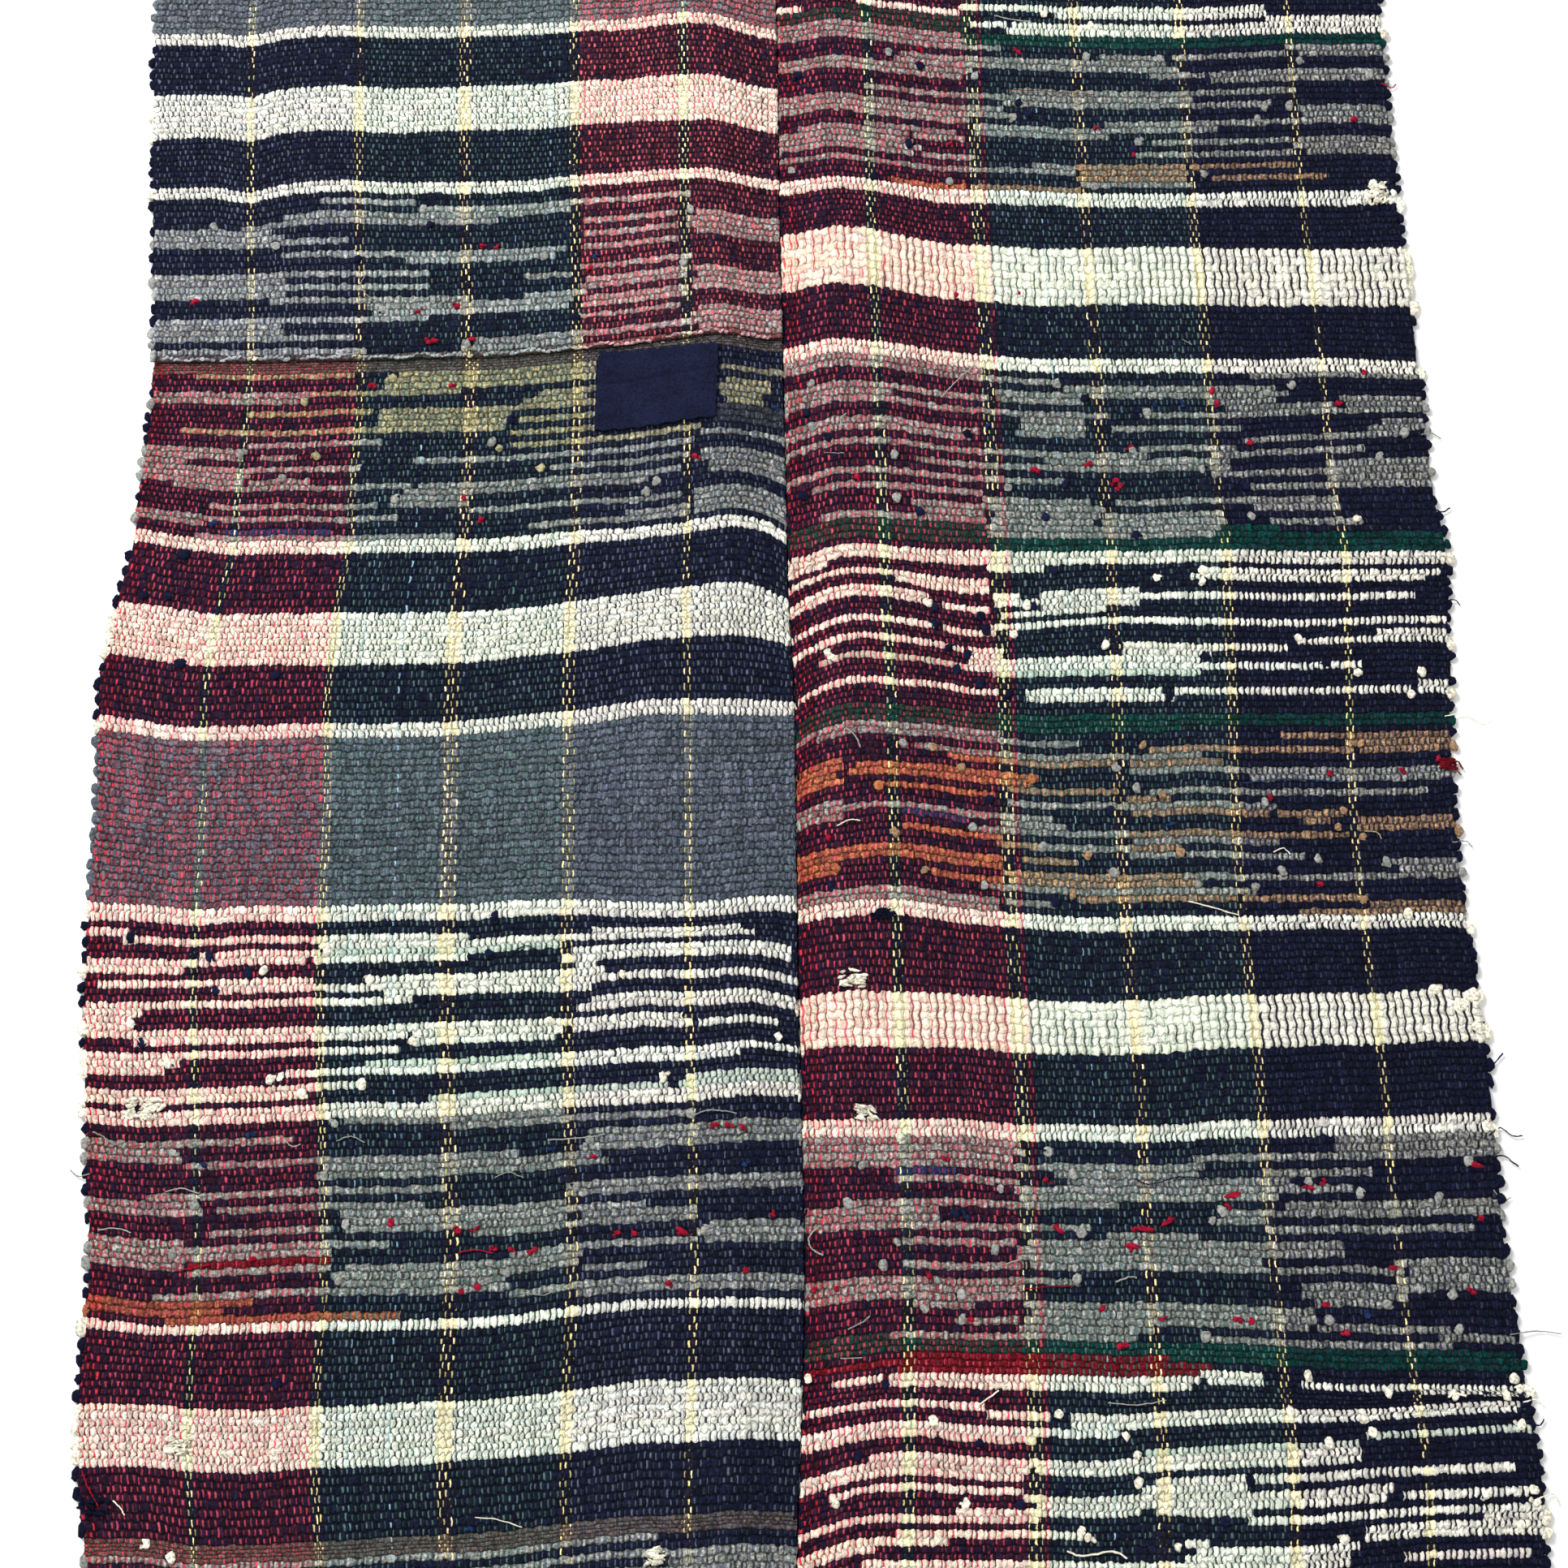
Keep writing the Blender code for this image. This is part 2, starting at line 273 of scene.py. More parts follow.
def blocks(back, front, picks, ground, text):
    """Rows of one rag with blocks of others. A block is its letter, its left and right in hundredths of the
    width, and its back and front in mm along the strip."""
    centres = back + (front - back) * (np.arange(picks) + 0.5) / picks
    table = np.full((picks, 100), ground)
    for kind, left, right, far, near in re.findall(r"(\w) +(\d+) +(\d+) +(-?\d+) +(-?\d+)", text):
        inside = [j for j, place in enumerate(centres) if int(near) + 0.5 <= place <= int(far) - 0.5]
        for j in inside or [int(np.argmin(np.abs(centres - (int(near) + int(far)) / 2)))]:
            a, b = (int(c) + (dice.choice((-1, 0, 1)) if 0 < int(c) < 100 else 0) for c in (left, right))
            table[j, a:b] = kind
    rows = []
    for line in table:
        ends = [k for k in range(1, 100) if line[k] != line[k - 1]] + [100]
        rows.append([(end / 100, str(line[end - 1])) for end in ends])
    return rows

# %% Mixed bands
UPPER_MIX = """
E 27 43 275 272  E 43 68 275 265  E 20 43 271 268  E 14 54 264 261  E 0 20 263 250  E 21 32 255 251
E 20 45 247 243  E 41 63 247 240  E 56 67 249 246  E 10 45 237 233  E 0 20 237 222  E 20 43 231 227
E 17 50 221 218  E 60 68 234 231  E 60 68 223 220  E 35 67 219 212  E 0 35 212 208  E 33 43 212 209
E 0 20 208 197  E 20 33 202 198  E 0 33 194 190  E 50 85 199 195  E 50 68 195 190  E 68 85 272 269
E 68 85 262 259  E 68 85 256 251  E 68 85 247 244  E 68 85 237 233  E 68 85 230 227  E 68 85 225 222
E 68 85 218 211  E 68 85 207 203  E 86 100 262 247  E 86 100 232 214  E 86 100 205 191"""
KHAKI_MIX = """
K 8 33 182 178  K 38 70 182 172  K 38 50 172 168  G 0 24 171 164  K 24 45 171 168  K 15 35 160 156
K 35 57 161 146  K 5 45 150 147  K 60 70 167 158  K 56 61 162 158  K 57 69 155 150  K 57 70 146 143
K 56 87 140 137  K 90 98 165 152  K 90 100 172 169  G 17 38 143 140  G 0 16 142 133  G 17 25 136 133
G 0 7 134 130  G 0 17 130 118  G 17 34 130 126  G 17 25 123 120  G 5 43 120 116  G 42 85 133 130
G 63 84 126 123  G 70 84 121 116  G 42 80 119 111  G 40 52 113 107  G 10 38 109 106  G 52 84 105 102
G 0 39 104 100  G 0 11 100 97  U 13 30 97 93  G 10 50 93 90  G 60 84 95 92  G 75 84 98 95  G 86 100 139 134
G 87 100 128 114  G 85 100 106 92  S 88 100 152 139  S 70 100 148 146"""
WHITE_MIX = """
W 0 6 -105 -110  W 5 33 -108 -112  W 33 55 -110 -122  V 33 56 -115 -119  W 17 33 -116 -120
W 0 31 -120 -123  W 0 13 -123 -127  W 3 33 -130 -134  W 19 41 -133 -137  W 41 72 -128 -139
W 68 72 -122 -129  W 0 47 -140 -144  W 0 7 -143 -155  W 8 46 -151 -158  W 46 67 -151 -162
W 67 85 -152 -158  W 85 97 -157 -160  W 0 44 -162 -166  W 0 12 -165 -171  V 38 66 -170 -173
W 66 100 -170 -173  W 27 92 -173 -177  W 0 40 -177 -181  W 0 30 -181 -184  V 47 83 -185 -188
V 83 100 -182 -188  W 0 100 -188 -195  W 55 67 -111 -115  V 50 67 -115 -119  W 70 92 -108 -111
W 66 94 -112 -115  W 69 98 -120 -125  W 72 100 -133 -137  W 70 100 -143 -149"""
GREY_MIX = """
G 35 68 -195 -200  G 0 12 -203 -213  G 12 30 -203 -207  G 50 85 -199 -203  G 70 100 -206 -216
G 15 60 -212 -215  G 33 72 -216 -225  G 7 50 -225 -229  G 0 15 -228 -236  G 18 47 -233 -236
G 68 100 -228 -238  G 36 68 -238 -249  G 17 33 -246 -249  G 0 12 -247 -262  G 12 33 -252 -258
G 55 85 -249 -252  G 86 100 -250 -263  G 60 85 -258 -262  G 35 58 -262 -275  G 15 33 -263 -266
G 10 60 -272 -275  G 68 79 -240 -243  G 70 84 -244 -247  G 33 41 -253 -256  G 58 68 -262 -270
G 68 78 -270 -274  R 15 33 -259 -262  B 0 22 -275 -283  G 60 100 -277 -285"""
BACK_MIX = """
W 31 48 391 386  W 45 80 392 384  W 80 100 385 378  W 0 5 384 380  W 12 30 388 384  W 30 37 380 376
W 38 100 379 374  D 0 10 380 371  D 10 31 384 372  D 31 100 374 366  G 0 31 372 366"""
RIGHT_GREY = """
G 0 31 366 361  G 31 38 366 362  G 52 65 362 351  G 65 85 362 358  G 85 100 366 357  G 19 52 359 351
G 61 71 352 348  G 71 100 352 344  G 0 31 352 344  G 38 67 341 330  G 13 38 337 333  G 0 31 331 320
G 31 38 331 321  G 67 80 333 329  G 67 86 341 337  G 85 100 330 319  G 53 72 323 315  G 72 85 323 319
G 31 55 320 312  G 15 30 316 312  G 4 22 312 308  G 22 30 312 309  G 62 85 312 309  G 58 85 305 302
G 0 22 309 298  G 85 100 312 300  G 22 31 301 298"""
TAN_MIX = """
G 41 48 298 292  T 48 67 298 286  T 67 85 298 294  T 69 90 291 287  G 0 31 293 290  G 31 47 293 290
G 50 68 287 284  O 18 31 285 281  T 31 50 285 281"""
RIGHT_GREY_2 = """
G 0 31 179 170  G 30 43 175 171  G 72 100 180 173  G 45 78 172 165  G 34 47 167 160  G 67 78 163 160
G 57 67 158 155  G 0 31 164 153  G 88 100 166 153  G 68 85 160 157  G 67 92 157 153  G 37 48 155 143
G 50 70 151 146  G 92 100 149 142  G 0 29 147 140  G 72 97 143 139  G 13 55 137 134  G 54 70 138 135
G 0 40 136 133  G 40 68 131 123  G 20 48 129 125  G 0 31 123 116  G 85 100 129 114  G 65 84 124 121
G 31 43 120 117  G 72 90 117 113  G 31 48 111 91  G 5 31 113 110  G 50 70 111 108  G 48 66 105 91
G 20 31 106 99  G 72 86 107 104  G 75 88 98 95  G 5 31 98 95  N 17 31 160 157  G 31 50 157 154
G 67 86 111 108  G 67 90 137 134"""
RIGHT_WHITE = """
W 31 39 76 72  W 0 6 77 74  W 62 98 72 66  W 0 14 71 67  W 16 31 69 64  W 0 22 60 54  W 22 31 58 52
W 31 36 62 57  W 37 54 63 52  W 54 94 60 55  W 31 48 54 51  W 0 22 45 40  W 22 31 45 41  W 31 100 48 42
W 89 100 42 32  W 76 89 38 33  W 63 76 33 30  W 0 25 35 31  W 26 31 33 20  W 31 49 29 20  W 49 63 34 20
V 31 63 20 16  V 3 27 24 20  W 63 80 26 22  W 80 86 22 20  W 0 32 11 7  W 34 57 13 4  W 57 95 13 8
W 95 100 14 8"""
RUST_MIX = """
G 0 31 -10 -15  G 4 42 -15 -18  G 17 61 -20 -23  T 75 95 -11 -14  T 85 100 -12 -23  T 53 85 -18 -22
O 23 32 -23 -27  T 31 50 -23 -27  T 50 66 -25 -28  O 0 8 -28 -33  O 8 36 -30 -38  O 0 7 -33 -42
G 50 68 -29 -32  G 68 100 -29 -36  G 53 95 -37 -41  O 14 31 -42 -46  T 31 50 -40 -44  T 50 57 -42 -45
G 31 72 -45 -49  T 50 72 -50 -53  T 72 83 -48 -54  T 77 82 -50 -58  T 85 100 -52 -60  G 0 6 -50 -61
G 6 38 -52 -57  G 31 41 -55 -58  U 15 25 -58 -61  T 50 84 -60 -64  G 27 50 -61 -64  G 52 72 -65 -69
O 17 31 -65 -69  T 31 58 -66 -71  G 38 50 -69 -72  G 50 78 -72 -75  T 33 42 -73 -76  O 0 31 -73 -82
O 0 7 -82 -89  G 90 100 -75 -80  G 75 100 -79 -85  G 50 78 -82 -86  O 19 31 -84 -88  T 31 59 -82 -87
G 28 50 -88 -91  G 50 68 -88 -91  T 42 67 -91 -95  T 67 86 -93 -96  T 86 100 -96 -102  G 0 31 -95 -102
G 31 38 -95 -98  T 75 86 -99 -102"""
RIGHT_GREY_3 = """
G 0 31 -208 -218  G 0 12 -217 -221  G 77 100 -208 -218  G 10 40 -218 -222  G 57 85 -215 -219
G 37 58 -218 -228  G 65 82 -221 -226  G 13 31 -225 -229  G 31 67 -228 -236  G 50 70 -226 -232
G 8 45 -236 -239  G 0 20 -239 -247  G 0 40 -246 -250  G 60 68 -238 -242  G 68 80 -230 -233
G 69 100 -236 -242  G 58 66 -242 -246  G 67 96 -245 -249  G 14 31 -253 -257  G 42 56 -249 -254
G 31 66 -253 -269  G 67 76 -254 -260  G 14 31 -263 -267  G 85 100 -261 -274  G 67 85 -263 -267
G 70 85 -270 -277  G 0 30 -270 -281  G 31 39 -270 -274  G 14 25 -281 -284  G 31 48 -281 -299
G 48 71 -282 -293  G 72 83 -279 -282  G 72 92 -288 -291  G 20 31 -287 -292  G 58 68 -296 -299
G 90 100 -290 -297  G 66 90 -295 -298  G 7 31 -296 -299  D 0 13 -296 -299  U 13 22 -222 -226"""
FRONT_MIX = """
R 13 56 -304 -313  R 0 13 -308 -311  D 50 100 -304 -308  W 3 12 -314 -317  W 12 55 -313 -320
W 55 64 -310 -318  W 70 84 -316 -318  W 84 95 -315 -322  W 95 100 -312 -323  W 0 25 -325 -332
W 25 33 -328 -332  W 37 99 -331 -337  W 31 44 -336 -341  W 0 31 -337 -344  W 9 31 -348 -352
W 0 31 -351 -359  W 31 76 -350 -355  V 47 77 -345 -350  V 78 100 -341 -346  W 5 31 -363 -366
W 22 31 -370 -374  W 0 31 -374 -378  W 31 47 -363 -376  W 47 61 -359 -376  W 61 67 -363 -373
W 67 80 -365 -372  W 62 98 -359 -362  W 81 97 -369 -373  W 59 93 -375 -378  W 92 100 -375 -388
W 77 100 -382 -388  W 12 38 -381 -385  W 0 20 -384 -389  W 0 10 -388 -391  W 53 74 -386 -396
W 51 56 -384 -388  W 9 74 -392 -396  W 80 97 -394 -397"""

# %% Bands of each length
# Each band: where it ends along the middle of the strip in mm, and its rows from the back to the front
UPPER_LEFT = [
    (378, plain("A" * 28)), (371.9, plain("WW")), (341.9, plain("N" * 9)), (316.2, plain("W" * 8)),
    (286.4, plain("N" * 9)), (280.4, plain("WW")),
    (190.5, blocks(280.4, 190.5, 25, "N", UPPER_MIX)), (188, plain("H")),
]
LOWER_LEFT = [
    (188, plain("HHHH")), (182, plain("HHHH")),
    (89.0, blocks(182, 89, 27, "N", KHAKI_MIX)), (83.0, plain("WW")),
    (52.0, plain("N" * 8)), (26.4, plain("W" * 8)), (-4.3, plain("N" * 8)), (-10.9, plain("WW")),
    (-95.0, plain("C" * 23)), (-102.5, plain("WW")), (-194.8, blocks(-102.5, -194.8, 28, "N", WHITE_MIX)),
    (-279.6, blocks(-194.8, -279.6, 24, "N", GREY_MIX)),
    (-287.2, blocks(-279.6, -287.2, 2, "N", "B 0 20 -279 -283  B 12 43 -282 -287  G 67 100 -279 -284")),
    (-291.5, plain("W")), (-323.6, plain("N" * 9)), (-349.9, plain("W" * 8)), (-381.4, plain("N" * 8)),
    (-387.9, plain("HHHH")), (-480, ball("NG", 1.2, 0.3, 26)),
]
RIGHT = [
    (394, ball("NW", 1.2, 0.1, 24)), (366, blocks(394, 366, 8, "N", BACK_MIX)),
    (298, blocks(366, 298, 19, "N", RIGHT_GREY)), (280.8, blocks(298, 280.8, 5, "N", TAN_MIX)),
    (272.4, plain("WW")), (247.9, plain("N" * 7)), (215.8, plain("Y" * 7)), (186.0, plain("N" * 8)),
    (178.9, plain("WW")), (96, blocks(178.9, 96, 23, "N", RIGHT_GREY_2)),
    (82.2, blocks(96, 82.2, 4, "D", "G 31 66 96 90  N 75 100 96 93  N 0 31 86 82")),
    (75.8, plain("WW")), (4.8, blocks(75.8, 4.8, 22, "N", RIGHT_WHITE)), (-1.8, plain("NN")),
    (-10.9, blocks(-1.8, -10.9, 3, "D", "N 60 100 -7 -10")),
    (-102.1, blocks(-10.9, -102.1, 26, "N", RUST_MIX)),
    (-108.8, plain("WW")), (-143.0, plain("N" * 9)), (-167.6, plain("Y" * 6)), (-200.5, plain("N" * 9)),
    (-208.0, plain("WW")), (-299, blocks(-208, -299, 26, "N", RIGHT_GREY_3)), (-304.4, plain("DD")),
    (-397, blocks(-304.4, -397, 29, "N", FRONT_MIX)), (-480, ball("NW", 0.9, 0.3, 23)),
]


def picks_of(chart, top):
    """Edges of the rows along the strip, and the rows."""
    edges, rows = [top], []
    for end, band in chart:
        edges += list(np.linspace(edges[-1], end * mm, len(band) + 1)[1:])
        rows += band
    return np.array(edges), rows


for length, chart in (("upper left", UPPER_LEFT), ("lower left", LOWER_LEFT), ("right", RIGHT)):
    print(length, sum(len(band) for _, band in chart), "picks")

# %% [markdown]
# ## Nodes written as sums
# Materials and geometry trees are both made of nodes. A wire holds one output of a node, and a sum on wires
# adds the Math nodes for it, so a tree is written as the rule that it follows. The other way is to add and
# link each node in turn, which takes four lines for each sign of a sum.

# %% Wires
class Wire:
    """One output of a node. A sum on wires and plain numbers adds the Math nodes for it."""

    def __init__(self, tree, socket):
        self.tree, self.socket = tree, socket

    def output(self, which):
        """Another output of the same node, by its name or number."""
        return Wire(self.tree, self.socket.node.outputs[which])

    def __add__(self, other):
        return maths("ADD", self, other)

    def __sub__(self, other):
        return maths("SUBTRACT", self, other)

    def __rsub__(self, other):
        return maths("SUBTRACT", other, self)

    def __mul__(self, other):
        return maths("MULTIPLY", self, other)

    def __lt__(self, other):
        return maths("LESS_THAN", self, other)

    def __gt__(self, other):
        return maths("GREATER_THAN", self, other)

    def __abs__(self):
        return maths("ABSOLUTE", self)


def fill(tree, socket, value):
    """Set an input, or link it where the value is a wire. None leaves it as it is."""
    if isinstance(value, Wire):
        tree.links.new(value.socket, socket)
    elif value is not None:
        socket.default_value = value


def node(tree, kind, *values, out=0, named=None, **settings):
    """A new node, as the wire of one of its outputs. Values fill its inputs in turn, named ones by name."""
    made = tree.nodes.new(kind)
    for key, value in settings.items():
        setattr(made, key, value)
    for socket, value in zip(made.inputs, values):
        fill(tree, socket, value)
    for name, value in (named or {}).items():
        fill(tree, made.inputs[name], value)
    return Wire(tree, made.outputs[out])


def maths(operation, *values):
    """A Math node. At least one of its values is a wire."""
    tree = next(value.tree for value in values if isinstance(value, Wire))
    return node(tree, "ShaderNodeMath", *values, operation=operation)

# %% Nodes used often
def vector_maths(operation, first, *others, **named):
    """A Vector Math node, whose first value is a wire."""
    return node(first.tree, "ShaderNodeVectorMath", first, *others, named=named, operation=operation)


def step(value, low, high, to_low=0.0, to_high=1.0):
    """A smooth step from low to high."""
    return node(value.tree, "ShaderNodeMapRange", value, low, high, to_low, to_high,
                interpolation_type="SMOOTHSTEP")


def between(amount, first, second):
    """A number that goes from the first to the second as the amount goes from 0 to 1."""
    return node(amount.tree, "ShaderNodeMix", amount, None, first, second)


def mixed(amount, first, second, blend="MIX"):
    """Two colours mixed."""
    tree = next(value.tree for value in (amount, first, second) if isinstance(value, Wire))
    return node(tree, "ShaderNodeMix", amount, *[None] * 5, first, second, out=2, data_type="RGBA",
                blend_type=blend)


def times(first, second):
    """Two colours multiplied."""
    return mixed(1.0, first, second, "MULTIPLY")


def combined(x, y):
    """A flat place, from its two numbers."""
    return node(x.tree, "ShaderNodeCombineXYZ", x, y)


def speck(first, second):
    """A random value for each pair of whole numbers; output 1 is a random colour."""
    return node(first.tree, "ShaderNodeTexWhiteNoise", combined(first, second), noise_dimensions="2D")


def noise(tree, place, scale, detail):
    """Soft noise from 0 to 1 at a place."""
    return node(tree, "ShaderNodeTexNoise", place, None, scale, detail)

# %% Geometry trees
def geometry_tree(name, **numbers):
    """A new geometry tree, and the wires of its named inputs."""
    tree = bpy.data.node_groups.new(name, "GeometryNodeTree")
    add = tree.interface.new_socket
    add("Geometry", in_out="INPUT", socket_type="NodeSocketGeometry")
    for label, value in numbers.items():
        add(label, in_out="INPUT", socket_type="NodeSocketFloat").default_value = value
    add("Geometry", in_out="OUTPUT", socket_type="NodeSocketGeometry")
    start = tree.nodes.new("NodeGroupInput")
    return tree, {socket.name: Wire(tree, socket) for socket in start.outputs}


def end_tree(geometry):
    """Link the last geometry to the tree's output."""
    tree = geometry.tree
    fill(tree, tree.nodes.new("NodeGroupOutput").inputs[0], geometry)
    return tree


def end_painted(geometry, material):
    """End a tree with smooth faces of one material."""
    soft = node(geometry.tree, "GeometryNodeSetShadeSmooth", geometry)
    return end_tree(node(geometry.tree, "GeometryNodeSetMaterial", soft, None, material))


def attribute(tree, name, kind="FLOAT"):
    """A value or vector stored on the points."""
    return node(tree, "GeometryNodeInputNamedAttribute", name, data_type=kind)


def bake(piece, tree, **values):
    """Run a geometry tree on an object once and keep the plain mesh."""
    modifier = piece.modifiers.new(tree.name, "NODES")
    modifier.node_group = tree
    for socket in tree.interface.items_tree:
        if socket.name in values:
            modifier[socket.identifier] = values[socket.name]
    return keep_result(piece, modifier)


def keep_result(piece, modifier):
    """The object's mesh with its modifier's work in it, and no modifier."""
    name = piece.data.name
    mesh = bpy.data.meshes.new_from_object(piece.evaluated_get(bpy.context.evaluated_depsgraph_get()))
    piece.modifiers.remove(modifier)
    piece.data = mesh
    mesh.name = name
    return mesh

# %% Meshes
def new_piece(name, verts, edges, faces):
    """A new mesh object in the scene, at the origin."""
    mesh = bpy.data.meshes.new(name)
    mesh.from_pydata(verts, edges, faces)
    piece = bpy.data.objects.new(name, mesh)
    bpy.context.scene.collection.objects.link(piece)
    return piece


def give(mesh, name, values, kind="FLOAT", domain="POINT"):
    """Store a value, vector or colour for each point or face."""
    field = {"FLOAT": "value", "FLOAT_VECTOR": "vector", "FLOAT_COLOR": "color"}[kind]
    mesh.attributes.new(name, kind, domain).data.foreach_set(field, np.asarray(values, float).ravel())


def size_in_mm(piece):
    """Width, length and height, for the cells to print."""
    return [round(side / mm, 1) for side in piece.dimensions]

# %% [markdown]
# ## Woven sheets
# Each length of cloth is one mesh with a vertex at every crossing of a warp and a weft. The vertex is a
# crest where the rag is on top and a dip where the warp holds it down, which is what makes the pebbled
# surface. The underside is a coarser grid joined on at the border. The relief is a Geometry Nodes tree, so
# its depth can be set by name.

# %% Warps
# Colour, and how much of it shows through the rags beside it
WARP_COLOURS = {
    "red": (*linear(190, 74, 90), 1.0), "scarlet": (*linear(198, 54, 68), 1.1),
    "rose": (*linear(216, 98, 106), 1.15), "green": (*linear(94, 126, 126), 0.85),
    "navy": (*linear(56, 60, 82), 1.0), "slate": (*linear(98, 110, 130), 0.9),
    "yellow": (*linear(255, 238, 172), 0.12), "pale": (*linear(134, 186, 196), 0.15),
}


class Warp:
    """The warp of one strip: each end's colour, and how far it is pushed from its even place."""

    def __init__(self, order, yellow, pale):
        self.colour = [order[k * 3 // WARPS] for k in range(WARPS)]
        self.push = chance.normal(0, 0.16, WARPS)
        for k in pale:
            self.colour[k] = "pale"
        for k in yellow:
            self.colour[k:k + 4] = ["yellow"] * 4

    def stops(self):
        """The first end of each run of one colour, with the colour."""
        return [(k, c) for k, c in enumerate(self.colour) if k == 0 or c != self.colour[k - 1]]


warp_turned = Warp(("slate", "green", "rose"), (35, 76, 117, 160, 202), (137, 151))
warp_left = Warp(("red", "green", "slate"), (34, 76, 119, 160, 201), (89, 103))
warp_right = Warp(("red", "green", "navy"), (32, 74, 116, 158, 201), (101,))
warp_left.colour[:5], warp_right.colour[:7] = ["scarlet"] * 5, ["scarlet"] * 7
print("runs of warp colour", [len(warp.stops()) for warp in (warp_turned, warp_left, warp_right)])

# %% Rags at the crossings
def rag_index(rows, across):
    """Which rag is on each row at each place across."""
    table = np.zeros((len(rows), len(across)), int)
    for j, row in enumerate(rows):
        ends = np.array([end for end, _ in row])
        kinds = np.array([LETTERS.index(kind) for _, kind in row])
        table[j] = kinds[np.minimum(np.searchsorted(ends, across), len(kinds) - 1)]
    return table


def rag_values(field, kinds):
    """One of the rags' values at each crossing."""
    return np.array([getattr(rag, field) for rag in RAGS.values()])[kinds]


def rag_shades(rows, across):
    """Colour and puff of the rag in each row at each place across. Each length of rag differs a little."""
    kinds = rag_index(rows, across)
    shade = np.concatenate([rag_values("colour", kinds), rag_values("puff", kinds)[..., None]], -1)
    for line, row in zip(shade, rows):
        start = 0.0
        for end, _ in row:
            part = (across >= start) & (across < end + 1e-9)
            line[part, :3] *= 1 + chance.normal(0, 0.06) + chance.normal(0, 0.015, 3)
            start = end
    return shade


def pushed_aside(warp, lean):
    """How far each crossing is from its even place, counted in warp ends. Warps lie in pairs, so each row's
    crossings shift a little the other way, and no end crosses its neighbour."""
    n = len(lean)
    wander = np.cumsum(chance.normal(0, 0.05, (n, WARPS)), axis=0)
    wander -= np.linspace(0, 1, n)[:, None] * wander[-1]
    side = (1 - 2 * (np.arange(n) % 2))[:, None]
    pushed = warp.push + np.clip(wander, -0.3, 0.3) + lean * side + chance.normal(0, 0.13, (n, WARPS))
    spaced = 0.7 * np.arange(WARPS)
    return np.maximum.accumulate(pushed + spaced, axis=1) - spaced


def crests_and_gaps(kinds, across, along):
    """Where the rag is on top, and how high each crossing puffs up. No gap shows where a warp is buried."""
    n = len(kinds)
    end = np.arange(WARPS)
    puffs = 1.25 * rag_values("puff", kinds) ** 1.3 * mm
    thick = rag_values("puff", kinds) > THICK_PUFF
    crest = np.where(thick, end % 3 > 0, (end + np.arange(n)[:, None]) % 2 == 0)
    clumps = sway("lumps", across, along) / (0.7 * mm)
    hidden = chance.random((n, WARPS)) < rag_values("buried", kinds) * np.clip(1 + 2.2 * clumps, 0.2, 5)
    dip = np.where(hidden, 0.45, np.where(thick, -0.5, -1.0))
    puff = np.where(crest, 1.0, dip) * puffs * chance.normal(1, 0.15, (n, WARPS))
    return puffs, puff, np.where(hidden & ~crest, 0.0, 1.0)

# %% Faces of a sheet
def some_of(count, every):
    """Every few of a row of places, and the last."""
    return sorted({*range(0, count, every), count - 1})


def sheet_faces(rows, cols, low_rows, low_cols):
    """Faces of a fine grid over a coarse one, and of the walls that join their borders. The last list says by
    which row and column of rag each wall is coloured."""
    grid = np.arange(rows * cols).reshape(rows, cols)
    low = rows * cols + np.arange(len(low_rows) * len(low_cols)).reshape(len(low_rows), len(low_cols))
    top = np.stack([grid[1:, :-1], grid[1:, 1:], grid[:-1, 1:], grid[:-1, :-1]], -1).reshape(-1, 4)
    under = np.stack([low[:-1, :-1], low[:-1, 1:], low[1:, 1:], low[1:, :-1]], -1).reshape(-1, 4)
    walls, beside, last = [], [], rows - 3
    for k, (a, b) in enumerate(zip(low_cols, low_cols[1:])):
        walls.append([*grid[0, a:b + 1], low[0, k + 1], low[0, k]])
        walls.append([*grid[-1, a:b + 1][::-1], low[-1, k], low[-1, k + 1]])
        beside += [(0, a), (last, a)]
    for k, (a, b) in enumerate(zip(low_rows, low_rows[1:])):
        walls.append([*grid[a:b + 1, 0][::-1], low[k, 0], low[k + 1, 0]])
        walls.append([*grid[a:b + 1, -1], low[k + 1, -1], low[k, -1]])
        beside += [(min(a, last), 0), (min(a, last), cols - 2)]
    return top, under, walls, beside


def relief_tree():
    """Lifts crests and lowers dips along the normal, by each vertex's own puff."""
    tree, given = geometry_tree("Weave relief", Depth=1.0, Unevenness=0.35)
    uneven = given["Unevenness"] * (noise(tree, None, 160.0, 2.0) - 0.5)
    lift = uneven * (2 * mm) + attribute(tree, "puff") * given["Depth"]
    offset = vector_maths("SCALE", node(tree, "GeometryNodeInputNormal"), Scale=lift)
    return end_tree(node(tree, "GeometryNodeSetPosition", given["Geometry"], named={"Offset": offset}))

